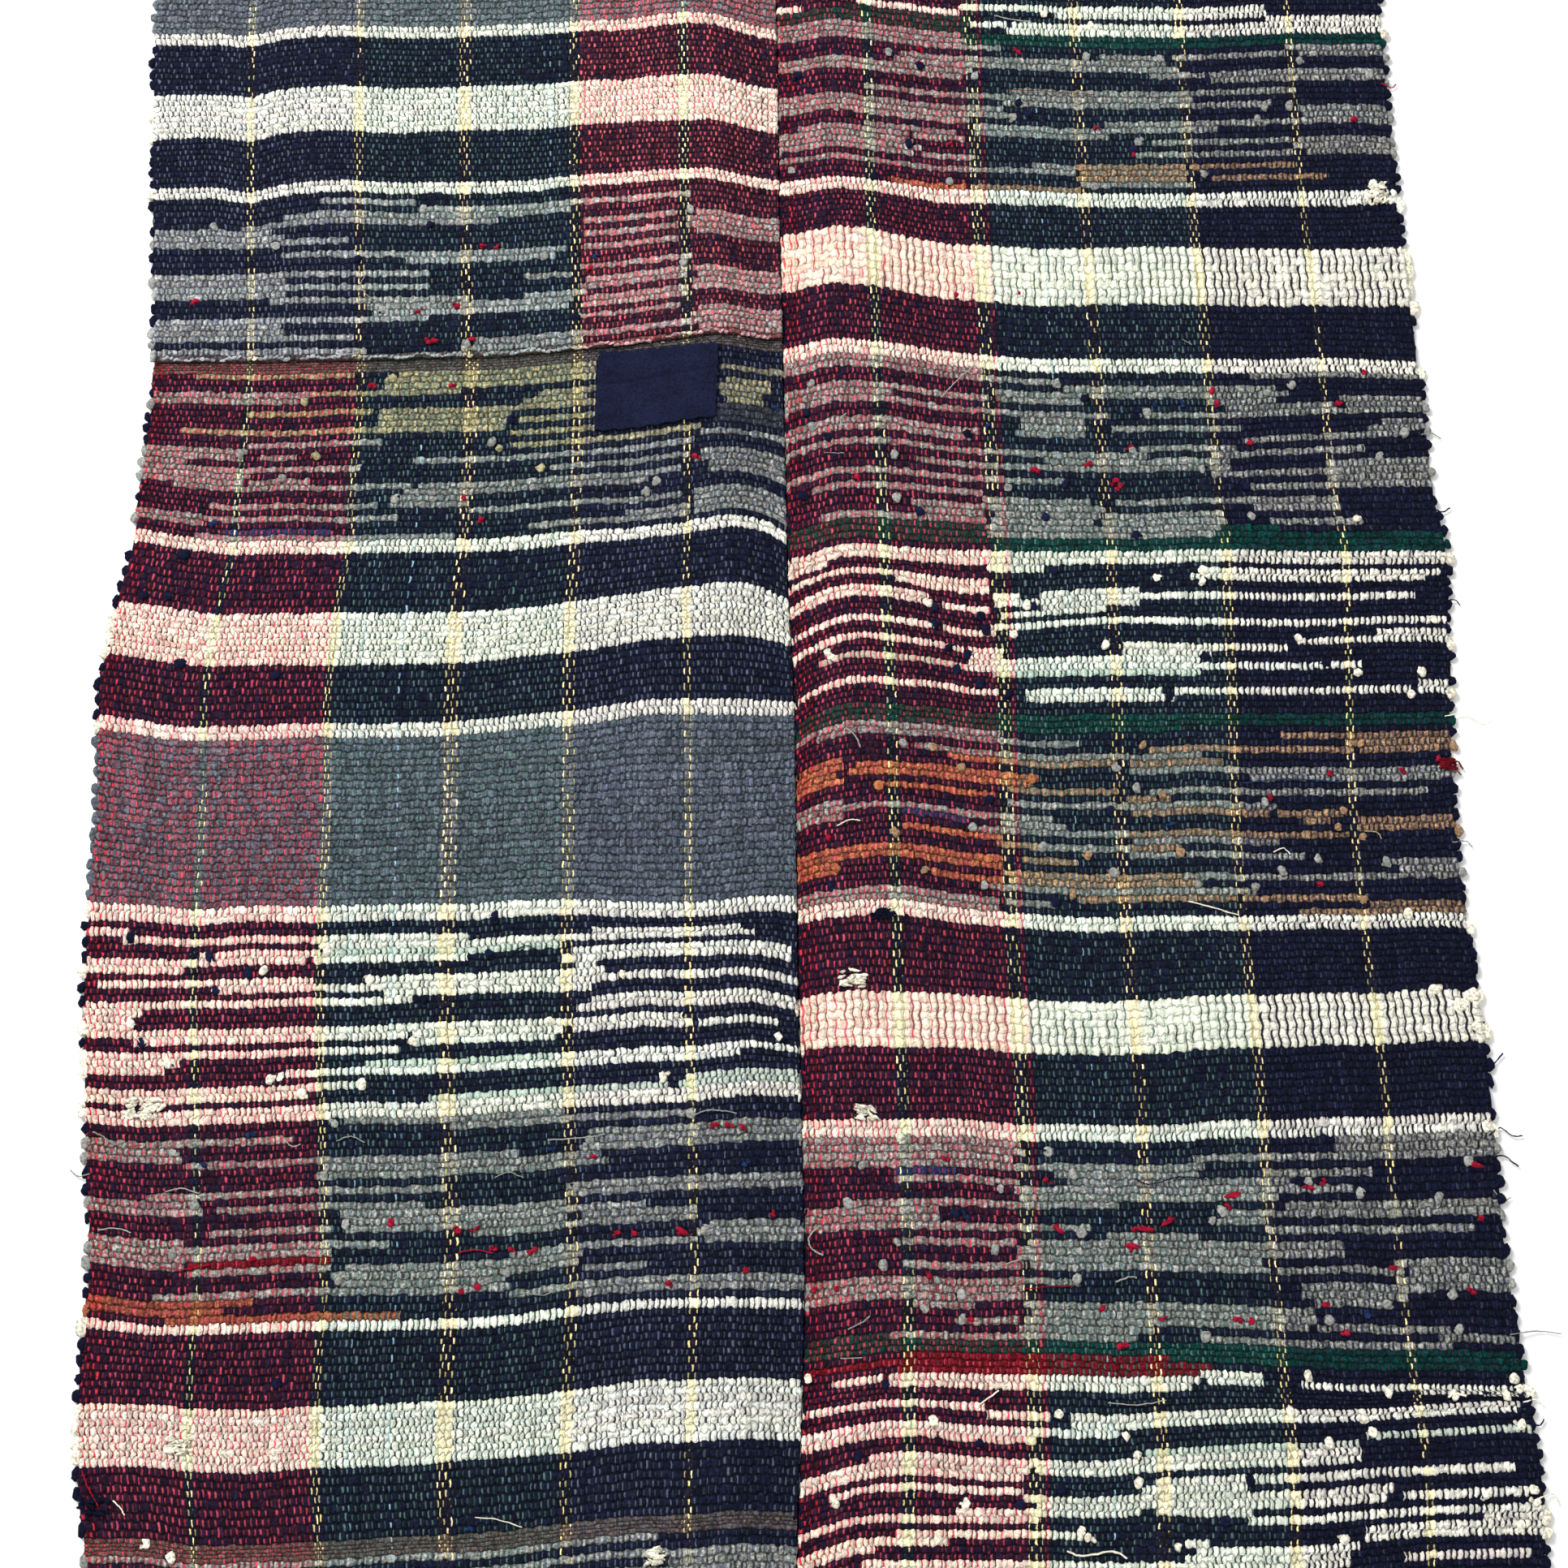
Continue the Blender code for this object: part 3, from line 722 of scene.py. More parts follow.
# %% Sheet builder
def weave_sheet(name, strip, warp, chart, top, lap=None):
    """One length of cloth. Its lap edge may lie over or under the other length."""
    edges, rows = picks_of(chart, top)
    n = len(rows)
    size, inner = (n + 2, WARPS + 2), np.s_[1:-1, 1:-1]
    u = np.concatenate([[0.0], np.arange(WARPS) + 0.5, [WARPS]])
    v = np.concatenate([[0.0], np.arange(n) + 0.5, [n]])
    across, along = u / WARPS, np.interp(v, np.arange(n + 1), edges)
    kinds = rag_index(rows, across)[:, 1:-1]
    shift = np.zeros(size)
    shift[inner] = pushed_aside(warp, rag_values("lean", kinds))
    x, y = lay(strip, across, along)
    x = x + shift * (x[:, -1:] - x[:, :1]) / WARPS
    y = y + sway(strip, across, along)
    # The wefts turn at both edges, so the edges are scalloped, and less so at the seam
    turn = 1 - 2 * (np.arange(n + 2) % 2)
    for column, out in ((0, -1), (-1, 1)):
        free = 0.35 if (strip == "left") == (out > 0) else 1.0
        x[:, column] += out * free * (0.9 * turn + chance.normal(0, 0.5, n + 2)) * mm
    floor_z = ridge(x, y)
    if lap == "over":
        floor_z = floor_z + np.array([lap_lift(across, line) for line in y])
    puff, shown, height = np.zeros(size), np.ones(size), np.full(size, CLOTH - 0.3 * mm)
    puffs, puff[inner], shown[inner] = crests_and_gaps(kinds, across[1:-1], along[1:-1])
    height[inner] += puffs * 0.35
    height[:, [0, -1]] = 1.7 * mm
    height[[0, -1], :] = 1.9 * mm
    # Both lengths thin out at the lap
    if lap == "under":
        tucked = ease((LAP_Y + 2 * mm - along) / (6 * mm))[:, None]
        puff *= tucked
        height -= (1 - tucked) * 0.6 * mm
    if lap == "over":
        height -= (1.5 * mm * (1 - ease((along - LAP_Y - 1 * mm) / (9 * mm))))[:, None]
    low_rows, low_cols = some_of(size[0], 2), some_of(size[1], 6)
    coarse = np.ix_(low_rows, low_cols)
    upper_points = np.stack([x, y, floor_z + height], -1)
    under_points = np.stack([x, y, floor_z + 0.2 * mm], -1)[coarse]
    top_quads, under_quads, walls, beside = sheet_faces(*size, low_rows, low_cols)
    points = np.concatenate([upper_points.reshape(-1, 3), under_points.reshape(-1, 3)])
    piece = new_piece(name, points.tolist(), [], top_quads.tolist() + under_quads.tolist() + walls)
    mesh = piece.data
    mesh.shade_smooth()
    # Which crossing each vertex is at, for the weave's material
    places = np.stack(np.meshgrid(u, v), -1)
    flat = np.concatenate([places.reshape(-1, 2), places[coarse].reshape(-1, 2)])
    corners = np.empty(len(mesh.loops), int)
    mesh.loops.foreach_get("vertex_index", corners)
    mesh.uv_layers.new(name="Crossings").uv.foreach_set("vector", flat[corners].ravel())
    # Rag colours above and below the middle of each face
    shade = rag_shades(rows, (across[1:] + across[:-1]) / 2)
    under_shade = shade[np.ix_([min(r, n - 1) for r in low_rows[:-1]], low_cols[:-1])]
    wall_shade = np.array([shade[j, i] for j, i in beside])
    for label, behind in (("rag_above", 1), ("rag_below", 0)):
        over_shade = shade[np.clip(np.arange(n + 1) - behind, 0, n - 1)]
        colours = np.concatenate([over_shade.reshape(-1, 4), under_shade.reshape(-1, 4), wall_shade])
        give(mesh, label, np.clip(colours, 0, 1), "FLOAT_COLOR", "FACE")
    for label, values in (("puff", puff), ("shown", shown)):
        give(mesh, label, np.append(values.ravel(), [values[0, 0]] * under_points[..., 0].size))
    mesh = bake(piece, RELIEF, Depth=1.0)
    triangles = sum(len(face.vertices) - 2 for face in mesh.polygons)
    print(name, n, "picks", triangles, "triangles, size", size_in_mm(piece))
    return piece

# %% Three lengths of cloth
RELIEF = relief_tree()
right = weave_sheet("rag_weave_right_strip", "right", warp_right, RIGHT, HALF)
lower = weave_sheet("rag_weave_lower_left", "left", warp_left, LOWER_LEFT, LAP_Y + LAP_WIDTH, "under")
upper = weave_sheet("rag_weave_upper_left", "left", warp_turned, UPPER_LEFT, HALF, "over")

# %% [markdown]
# ## Where a point is in the weave
# The UV map counts warps with its first number and wefts with its second. A plain rag passes over every
# other warp end and under the next, so its height follows a cosine that runs over two ends, and each row
# starts one end later than the row before. Thick white rags lie in columns and pass over two ends of three.
# Rags also bulge into the next row where they are on top, which moves the border between two rows up and
# down.

# %% Places in the weave
def stored(tree, name):
    """A value or colour stored on the mesh."""
    return node(tree, "ShaderNodeAttribute", attribute_name=name)


def rag_phase(side, row, u):
    """Even where a rag is on top and odd where it is under a warp."""
    thick = side.output("Alpha") > THICK_PUFF
    start = between(thick, row, 7 / 6)
    return thick * u * (-1 / 3) + u + (start - 0.5)


def in_weave(tree):
    """What is under a point, as wires kept together: its warp end and row, its rag, and its place on both."""
    place = node(tree, "ShaderNodeUVMap", uv_map="Crossings")
    split = node(tree, "ShaderNodeSeparateXYZ", place)
    u, v = split, split.output(1)
    above, below = stored(tree, "rag_above"), stored(tree, "rag_below")
    edge = maths("ROUND", v)
    phases = rag_phase(above, edge - 1.0, u), rag_phase(below, edge, u)
    crests = [maths("COSINE", phase * math.pi) for phase in phases]
    # A puffier rag spreads over its neighbour, and no border is quite even
    uneven = (noise(tree, combined(u * 0.40, edge * 7.3), 1.0, 1.0) - 0.5) * 1.3
    over, back = (maths("MAXIMUM", crest, 0.0) * step(side.output("Alpha"), 0.40, 0.80, 0.02, 0.21)
                  for crest, side in zip(crests, (above, below)))
    swell = (above.output("Alpha") - below.output("Alpha")) * 0.05
    puffy = maths("MINIMUM", above.output("Alpha"), below.output("Alpha"))
    push = speck(maths("ROUND", phases[0]), edge + 0.5) - 0.5
    push = push * step(puffy, 0.60, 0.82, 0.0, 0.62) * abs(crests[0])
    bulge = maths("MAXIMUM", maths("MINIMUM", over - back + swell + uneven + push, 0.47), -0.47)
    fade = 1.0 - abs(v - edge) * 2.0
    v = v - bulge * fade
    is_above = v < edge
    at = SimpleNamespace(u=u, v=v, end=maths("FLOOR", u), pick=maths("FLOOR", v))
    at.rag = mixed(is_above, below, above)
    at.puff = between(is_above, below.output("Alpha"), above.output("Alpha"))
    at.phase = between(is_above, phases[1], phases[0])
    # 1 at the middle of a pebble of rag and -1 at the middle of a warp's dash
    at.wave = maths("COSINE", at.phase * math.pi)
    at.from_row = abs(maths("FRACT", v) - 0.5)
    return at

# %% [markdown]
# ## Colours of the warp
# The warp's colour comes from a ramp across the strip: a red third, a green third and a navy third, with
# five pairs of straw yellow ends between them. Each end differs a little, and each crossing catches the
# light differently. Beside bright rags the dashes look dimmer.

# %% Warp colours
def brightness(tree, colour):
    """How light a colour is, from 0 to 1."""
    return node(tree, "ShaderNodeRGBToBW", colour)


def warp_thread(tree, at, warp):
    """Adds the warp's wires: its ramp, how far it shows through, its thread, and the light of its rag."""
    ramp = node(tree, "ShaderNodeValToRGB", maths("DIVIDE", at.end + 0.5, float(WARPS)))
    stops = ramp.socket.node.color_ramp
    stops.interpolation = "CONSTANT"
    for k, (first, colour) in enumerate(warp.stops()):
        stop = stops.elements[k] if k < 2 else stops.elements.new(first / WARPS)
        stop.position = first / WARPS
        stop.color = WARP_COLOURS[colour]
    at.warp, at.soaks = ramp, ramp.output("Alpha")
    light = brightness(tree, at.rag)
    at.bright, at.grey = step(light, 0.30, 0.60), step(light, 0.05, 0.14)
    parts = node(tree, "ShaderNodeSeparateColor", ramp)
    at.red = step(parts - parts.output(1), 0.0, 0.45)
    crossing = speck(at.end, at.pick)
    luck = step(speck(at.end, 0.0), 0.0, 1.0, 0.72, 1.22) * step(crossing, 0.05, 0.95, 0.45, 1.40)
    vivid = at.red * 0.16 + at.bright * (at.red * 0.46 - 0.32)
    pale = step(parts.output(1), 0.30, 0.80, 0.62, 0.92)
    luck = luck * (at.grey * 0.26 + (vivid + pale))
    hue = mixed(0.20, (1, 1, 1, 1), crossing.output(1))
    at.thread = times(times(ramp, hue), luck)
    # The warp's own tint at its brightest
    pure = vector_maths("MULTIPLY", vector_maths("NORMALIZE", ramp), (1.45, 1.45, 1.45))
    at.pure = vector_maths("MINIMUM", pure, (1.0, 1.0, 1.0))

# %% [markdown]
# ## Colours of the rags
# Each pebble has its own shade, and twisted fibres mottle it. Dark and middling rags are rough and uneven,
# and white ones smoother. Fine warp fibres lie over the rag everywhere, so a rag takes on some of the tint
# of its warp.

# %% Rag tones
def rag_tone(tree, at):
    """The rag with its shades, fibres and the warp's tint. Adds the wires of its fibres and their twist."""
    spot = node(tree, "ShaderNodeTexCoord", out="Object")
    at.fibre = noise(tree, spot, 700.0, 2.0)
    blush = noise(tree, spot, 430.0, 1.0)
    at.twist = noise(tree, combined(at.v * 0.9 + at.u * 0.45, at.v * 3.4), 1.4, 1.0)
    pebble = speck(maths("FLOOR", (at.phase + 1.0) * 0.5), at.pick + 0.37)
    rough = (step(at.fibre, 0.30, 0.70, 0.42, 1.66) * step(at.twist, 0.3, 0.7, 0.72, 1.26)
             * step(pebble, 0.0, 1.0, 0.72, 1.26))
    smooth = step(at.fibre, 0.30, 0.70, 0.88, 1.10) * step(pebble, 0.0, 1.0, 0.84, 1.12)
    rag = times(at.rag, between(at.bright, rough, smooth))
    soak = step(blush, 0.42, 0.66) * (at.grey * 0.42)
    soak = (at.bright * -0.18 + (soak + 0.05)) * at.soaks
    rag = mixed(soak, rag, at.thread)
    return mixed(at.bright * (at.soaks * -0.28 + 0.40), rag, at.pure)

# %% [markdown]
# ## Dashes and gaps
# Where a warp end is on top it shows as a dash. Beside dark rags its dashes are wide and short; beside
# bright ones the warp is nearly a line. Shade is painted into the colour at the sides of each pebble and
# between the rows, and it takes the warp's tint; on middling rags a painted dark line edges each dash.

# %% Dashes of the warp
def dashes(tree, at, rag):
    """The rag with painted shade in its gaps and between its rows, and the warp's dashes on it."""
    bright, grey, soaks = at.bright, at.grey, at.soaks
    bare = step(stored(tree, "shown").output("Fac"), 0.35, 0.75)
    thick = at.puff > THICK_PUFF
    dark = step(brightness(tree, at.warp), 0.05, 0.14, 1.0, 0.0)
    width = step(at.puff, 0.40, 0.80, 0.28, 0.21) * (soaks * 0.20 + 0.82) * (dark * bright * 0.30 + 1.0)
    rim = maths("COSINE", width * (thick * -0.36 + 1.0) * math.pi)
    from_rim = at.wave + rim
    # The warp's thread tints the sides of a pebble, and shade is painted there as well
    side_tint_and_shade = step(from_rim * between(bright, 1.0, 2.4), -0.10, 0.75, 1.0, 0.0) * bare
    rag = mixed(side_tint_and_shade * between(bright, 0.16, 0.62) * soaks, rag, at.thread)
    # dull is how dark the painted shade at the sides of a pebble gets
    dull = between(bright, 0.36, at.red * -0.26 + (dark * 0.36 + 0.50)) * (soaks * 0.6 + 0.4)
    sides = 1.0 - side_tint_and_shade * dull
    # Painted shade between two rows
    row_shade_depth = between(bright, between(grey, 0.55, 0.34), thick * -0.16 + 0.66)
    # ends darkens the colour towards the border of each row, as painted shade
    ends = step(at.from_row, between(bright, 0.24, 0.34), 0.50, 1.0, row_shade_depth)
    # The painted shade takes the warp's tint beside bright rags, most in the red third; beside dark rags it
    # is plain dark
    gap_shade_tint = times(at.pure, bright * (at.red * 0.55 + 0.10))
    rag = times(rag, mixed(sides * ends, gap_shade_tint, (1, 1, 1, 1)))
    length = soaks * -0.06 + between(bright, -0.05, 0.18)
    dash = step(from_rim, -0.16, 0.10, 1.0, 0.0) * step(at.from_row - length, 0.34, 0.48, 1.0, 0.0) * bare
    colour = mixed(dash, rag, at.thread)
    # Painted shade: a dark line between a warp's dash and the pebbles of a middling rag
    line = step(abs(from_rim) + bright * 0.4, 0.02, 0.34, 0.62, 1.0)
    return mixed(grey, colour, times(colour, line))

# %% The weave's material
def new_material(name, roughness, shine):
    """A dull cloth: the material, its tree and its shader."""
    material = bpy.data.materials.new(name)
    material.use_nodes = True
    shader = material.node_tree.nodes["Principled BSDF"]
    shader.inputs["Roughness"].default_value = roughness
    shader.inputs["Specular IOR Level"].default_value = shine
    return material, material.node_tree, shader


def finish_shader(shader, colour, height, strength, distance):
    """Link the colour, and a fine relief."""
    relief = {"Height": height, "Strength": strength, "Distance": distance}
    bump = node(colour.tree, "ShaderNodeBump", named=relief)
    fill(colour.tree, shader.inputs["Base Color"], colour)
    fill(colour.tree, shader.inputs["Normal"], bump)


def weave_material(name, warp):
    """The material of one length of cloth."""
    material, tree, shader = new_material(name, 0.92, 0.10)
    at = in_weave(tree)
    warp_thread(tree, at, warp)
    colour = dashes(tree, at, rag_tone(tree, at))
    pebble = at.wave * 0.45 + (1.0 - at.from_row * at.from_row * 4.0)
    finish_shader(shader, colour, at.twist * 0.8 + (at.fibre * 1.2 + pebble), 1.0, 0.7 * mm)
    print(name, len(tree.nodes), "nodes")
    return material


def dress(piece, material):
    """Give a piece one material."""
    piece.data.materials.clear()
    piece.data.materials.append(material)


dress(upper, weave_material("Rag weave turned length", warp_turned))
dress(lower, weave_material("Rag weave left strip", warp_left))
dress(right, weave_material("Rag weave right strip", warp_right))

# %% [markdown]
# ## Knots and turns
# Rags are knotted end to end, and a knot often comes to the face as a lump beside the join. At the edges
# each rag turns round the last warp into the next row. Both are short lumps of rag, so one node tree sets a
# lumpy ball on each point, turned, sized and coloured by the point's own attributes. The same lumps, small
# and in line, are the whip stitches along the lap, and a frayed bunch of rag is many of them together.

# %% Places on the cloth
def on_cloth(strip, across, along, lift=0.0):
    """A point on the face, from its place across (0 to 1, or past an edge) and its place along in mm."""
    held = min(max(across, 0.0), 1.0)
    x, y = (grid[0, 0] for grid in lay(strip, np.array([held]), np.array([along * mm])))
    z = float(ridge(x, y)) + CLOTH + lift * mm
    if strip == "left" and y > curve(LAP_EDGE[:, 0], LAP_EDGE[:, 1], held):
        z += float(lap_lift(held, y))
    return Vector((x + (across - held) * STRIP * mm, y, z))


# Knots: rag, place across in hundredths and place along in mm. A small letter is a big knot.
KNOTS = {"left": """
X 53 250  X 55 248  X 7 222  X 48 216  X 42 213  X 45 197  X 70 234  X 44 195  X 51 196  U 71 241  G 54 142
K 55 138  K 27 136  K 62 126  G 79 108  X 35 174  X 47 172  X 86 123  X 50 111  X 53 100  U 12 99  U 99 152
N 57 -102  N 17 -117  N 57 -119  N 18 -135  N 48 -140  W 26 -175  W 39 -178  W 30 -182  W 81 -183
W 97 -164  X 42 -245  X 52 -249  X 54 -249  X 57 -257  X 59 -257  X 52 -275  X 54 -275  X 88 -208
X 92 -208  U 65 -214  U 92 -227  W 12 -387  W 9 -383  U 54 -378  G 10 264  G 43 271  N 44 262  G 62 243
G 20 251  N 33 244  G 86 262  G 85 232  G 36 216  N 67 205  G 50 195  K 38 177  K 24 166  G 15 137
G 22 124  N 57 153  G 80 113  G 40 112  W 40 -130  W 75 -134  W 46 -160  W 65 -154  W 12 -167  W 34 -117
G 35 -197  G 12 -208  G 85 -201  G 70 -211  G 33 -220  n 8 80  n 11 27  N 27 -313  N 6 -109  N 8 -157
W 7 -148  W 25 -126  N 23 -126  W 27 -174  N 4 56  N 7 57  N 25 22  G 15 -232  G 68 -233  G 36 -244
G 12 -255  G 86 -256  G 58 -268  G 35 -270  X 74 -255  X 76 -256  x 83 -256  X 71 -219  X 92 -275
X 62 -260  X 96 -250  X 81 -280  X 90 -208  X 23 -258  U 23 -200  U 16 -213""",
         "right": """
G 18 356  N 23 352  G 32 348  N 3 343  G 38 323  N 39 331  N 41 326  G 84 331  X 94 322  G 78 323  X 52 318
G 80 330  W 44 385  W 52 379  G 51 360  G 86 356  G 97 347  N 71 347  N 70 336  X 28 308  G 59 311
N 58 306  X 40 362  X 23 362  N 21 305  G 28 286  G 2 288  N 15 283  G 69 292  W 97 281  W 97 275  G 51 284
X 91 178  X 54 138  X 39 124  X 87 160  X 38 222  X 28 219  X 58 303  X 11 116  G 43 171  G 35 165
N 47 164  G 80 170  G 76 167  X 67 168  U 58 161  U 62 161  G 57 157  X 68 161  G 4 164  N 3 152  U 32 148
N 28 142  N 7 137  G 4 143  G 54 137  X 72 140  G 97 141  G 17 126  X 47 130  X 38 125  G 65 125  G 92 130
X 51 120  X 52 118  N 43 118  G 34 115  N 71 115  G 17 106  N 20 101  G 71 101  W 87 98  N 53 91  N 40 101
N 3 112  N 40 73  W 56 67  W 63 71  W 63 66  N 22 42  W 34 40  N 24 31  N 27 28  W 5 27  W 6 24  N 25 20
N 28 14  N 33 9  W 48 32  W 21 53  N 22 52  N 29 51  N 30 43  W 77 38  W 98 46  N 63 28  N 81 25  W 86 19
W 96 18  W 94 7  N 57 6  N 37 55  W 36 57  G 16 -22  T 21 -24  T 25 -31  O 36 -34  T 53 -18  O 12 -45
N 29 -46  G 52 -39  T 56 -43  T 86 -17  G 49 -29  N 48 -49  T 83 -50  T 82 -59  T 86 -63  G 27 -62
T 15 -69  T 58 -70  G 37 -69  T 44 -73  O 29 -77  T 19 -86  O 6 -85  G 48 -80  G 28 -90  G 69 -88  T 41 -92
T 85 -95  N 39 -96  N 5 -93  G 60 -86  G 79 -74  G 89 -77  G 73 -81  X 81 -33  X 92 -31  X 98 -25  X 72 -44
X 79 -86  X 5 -68  G 71 -47  U 57 -57  W 14 -208  G 35 -213  G 8 -221  X 20 -219  G 39 -223  X 35 -226
G 28 -230  G 6 -238  N 21 -242  U 23 -245  x 36 -248  x 49 -248  X 47 -249  x 52 -246  G 58 -244  x 62 -233
X 61 -238  G 60 -240  X 75 -229  X 73 -230  G 73 -228  G 80 -233  x 97 -222  G 96 -221  G 91 -235
X 97 -245  G 13 -255  G 27 -258  x 47 -257  G 40 -250  G 11 -265  G 39 -271  X 18 -272  X 1 -275  X 4 -275
G 22 -279  X 42 -284  X 50 -290  X 61 -288  X 63 -289  X 73 -281  X 95 -274  G 92 -275  G 92 -289
G 82 -280  G 74 -286  X 76 -291  G 22 -291  X 23 -289  G 17 -285  X 44 -300  G 56 -297  X 84 -265
U 79 -285  W 1 -311  N 11 -319  W 70 -312  W 81 -318  W 90 -322  W 97 -323  W 67 -330  W 18 -337  N 24 -343
N 8 -348  W 35 -330  N 35 -362  W 44 -340  W 77 -335  W 78 -343  W 72 -347  N 57 -376  W 46 -360  N 61 -361
W 22 -371  w 94 -142  w 97 -151  w 99 -160  w 99 -146  W 91 -102  W 99 -205  W 99 -311  W 99 -316
N 99 -320  W 98 -343  W 99 -370  W 99 -374  W 78 -376  W 95 277  W 96 283  W 5 -366  N 30 -369  W 38 -381
W 39 -384  W 19 -386  W 51 -387  W 73 -385  W 92 -370  W 46 -348  W 97 -384"""}
# Frayed bunches of rag: rag, place, width and height in mm
PUFFS = {
    "left": (("W", 8.5, -186, 16, 6), ("W", 7.5, -191, 12, 4), ("W", 14, -339, 10, 7),
             ("N", 1.8, -367, 12, 8), ("W", 80, -398, 7, 6)),
    "right": (("W", 7.9, -137, 11, 8), ("W", 9.2, -198, 8, 6), ("W", 97, 278, 8, 13),
              ("N", 12.5, -108.5, 8, 4), ("R", 99.5, -28, 6, 5)),
}

# %% Knots and frayed bunches
Lump = namedtuple("Lump", "place turn size colour")


def shaded(kind, shade):
    """A rag's colour, lighter or darker."""
    return [c * shade for c in RAGS[kind].colour]


def knots(strip):
    """Knots on the face, each with a small ear beside it; nearly half of the ears are navy, as painted shade.
    """
    found = []
    for letter, across, along in re.findall(r"(\w) +(\d+) +(-?\d+)", KNOTS[strip]):
        kind, big = letter.upper(), letter.islower()
        small = kind in "XU"
        wide = dice.uniform(3.4, 4.8) * (1.85 if big else 0.75 if small else 1.0)
        tall = dice.uniform(4.0, 6.0) * (0.45 if small else 1.15 if big else 1.0)
        place = on_cloth(strip, (int(across) + dice.uniform(-0.4, 0.4)) / 100,
                         int(along) + dice.uniform(-1, 1), 0.4)
        shade = dice.uniform(0.9, 2.0) if kind == "N" else dice.uniform(0.8, 1.0 if kind == "W" else 1.15)
        tint = shaded(kind, shade)
        found.append(Lump(place, dice.uniform(-0.7, 0.7), (wide, tall, dice.uniform(1.4, 2.4)), tint))
        ear = place + Vector((dice.uniform(-2.4, 2.4), dice.uniform(-1.8, 1.8), dice.uniform(-0.4, 0.0))) * mm
        # Nearly half of the ears are navy: a dark lump that paints the shade of the hollow beside a knot. The
        # others are the knot's rag a little darker
        dark = not small and dice.random() < 0.45
        found.append(Lump(ear, dice.uniform(-1.5, 1.5), (dice.uniform(1.4, 2.4), dice.uniform(1.8, 3.2), 1.3),
                          RAGS["N"].colour if dark else [c * 0.85 for c in tint]))
    return found


def frayed(strip):
    """Frayed bunches: many thin lumps that lie nearly one way."""
    found = []
    for kind, across, along, wide, tall in PUFFS[strip]:
        slant = dice.uniform(-0.5, 0.5)
        for _ in range(22):
            x, y = dice.uniform(-0.5, 0.5) * wide, dice.uniform(-0.5, 0.5) * tall
            place = on_cloth(strip, across / 100 + x / STRIP, along + y, 0.8 + dice.uniform(-0.5, 0.8))
            shade = dice.uniform(0.6, 1.1)
            found.append(Lump(place, slant + dice.uniform(-0.5, 0.5),
                              (dice.uniform(3, 6), dice.uniform(1, 2), 1.4), shaded(kind, shade)))
    return found

# %% Turns and stitches
def turns(strip, chart, top):
    """The rags' turns round the first and the last warp."""
    edges, rows = picks_of(chart, top)
    found = []
    for j in range(len(rows) - 1):
        right_side = j % 2 == 1
        kind = rows[j][-1 if right_side else 0][1]
        if kind == "H" or dice.random() < 0.12:
            continue
        free = right_side == (strip == "right")
        out = dice.uniform(-0.2, 1.5) * 0.003 if free else -0.003
        across = 1 + out if right_side else -out
        tall = (edges[j] - edges[j + 1]) / mm * dice.uniform(1.4, 2.0)
        wide = dice.uniform(3.0, 5.4) if free else 1.6
        if free and kind in "WYV":
            wide, tall = 1.4 * wide, 1.2 * tall
        shade = dice.uniform(0.75, 1.1)
        place = on_cloth(strip, across, edges[j + 1] / mm + dice.uniform(-0.6, 0.6), -1.2)
        found.append(Lump(place, dice.uniform(-0.3, 0.3), (wide, tall, dice.uniform(2.2, 3.2)),
                          shaded(kind, shade)))
    return found


def whip_stitches():
    """Warp ends turned over the edge of the lap, a small stitch for each pair."""
    found, pairs = [], WARPS // 2
    for k in range(2, pairs - 2):
        colour = WARP_COLOURS[warp_turned.colour[2 * k]][:3]
        pale = [0.45 * c + 0.55 * w for c, w in zip(colour, linear(206, 206, 208))]
        dip = 0.7 * math.sin(k * 0.9) + 0.5 * math.sin(k * 0.37 + 1)
        place = on_cloth("left", (k + 0.5) / pairs, LAP_Y / mm + 0.9 + dip + dice.uniform(-0.25, 0.25), -1.4)
        shade = dice.uniform(0.55, 1.15)
        found.append(Lump(place, dice.uniform(-0.1, 0.6), (3.2, 1.6, 1.3), [c * shade for c in pale]))
    return found

# %% Lumps
def lumps_tree(material):
    """A lumpy ball of rag on each point. Each has 80 triangles, since there are over a thousand."""
    tree, given = geometry_tree("Rag lumps", Lumpiness=0.35 * mm)
    ball_of_rag = node(tree, "GeometryNodeMeshIcoSphere", 0.5, 2)
    turn, size = (attribute(tree, label, "FLOAT_VECTOR") for label in ("turn", "size"))
    placed = node(tree, "GeometryNodeInstanceOnPoints", given["Geometry"], None, ball_of_rag,
                  named={"Rotation": turn, "Scale": size})
    real = node(tree, "GeometryNodeRealizeInstances", placed)
    wobble = node(tree, "ShaderNodeTexNoise", None, None, 520.0, out="Color")
    shove = vector_maths("SUBTRACT", wobble, (0.5, 0.5, 0.5))
    shove = vector_maths("SCALE", shove, Scale=given["Lumpiness"] * 4.0)
    return end_painted(node(tree, "GeometryNodeSetPosition", real, named={"Offset": shove}), material)


def rag_lumps(name, lumps, tree):
    """One piece of many lumps."""
    piece = new_piece(name, [lump.place for lump in lumps], [], [])
    give(piece.data, "turn", [(0, 0, lump.turn) for lump in lumps], "FLOAT_VECTOR")
    give(piece.data, "size", [[side * mm for side in lump.size] for lump in lumps], "FLOAT_VECTOR")
    give(piece.data, "tint", np.clip([[*lump.colour, 1.0] for lump in lumps], 0, 1), "FLOAT_COLOR")
    mesh = bake(piece, tree, Lumpiness=0.7 * mm)
    print(name, len(lumps), "lumps,", len(mesh.polygons), "triangles")
    return piece


def fibre_material(name, scale, low, high):
    """Cotton of the piece's own tint, mottled by its fibres."""
    material, tree, shader = new_material(name, 0.92, 0.10)
    fibre = noise(tree, node(tree, "ShaderNodeTexCoord", out="Object"), scale, 2.0)
    colour = times(stored(tree, "tint"), step(fibre, 0.3, 0.7, low, high))
    finish_shader(shader, colour, fibre, 0.8, 0.5 * mm)
    return material


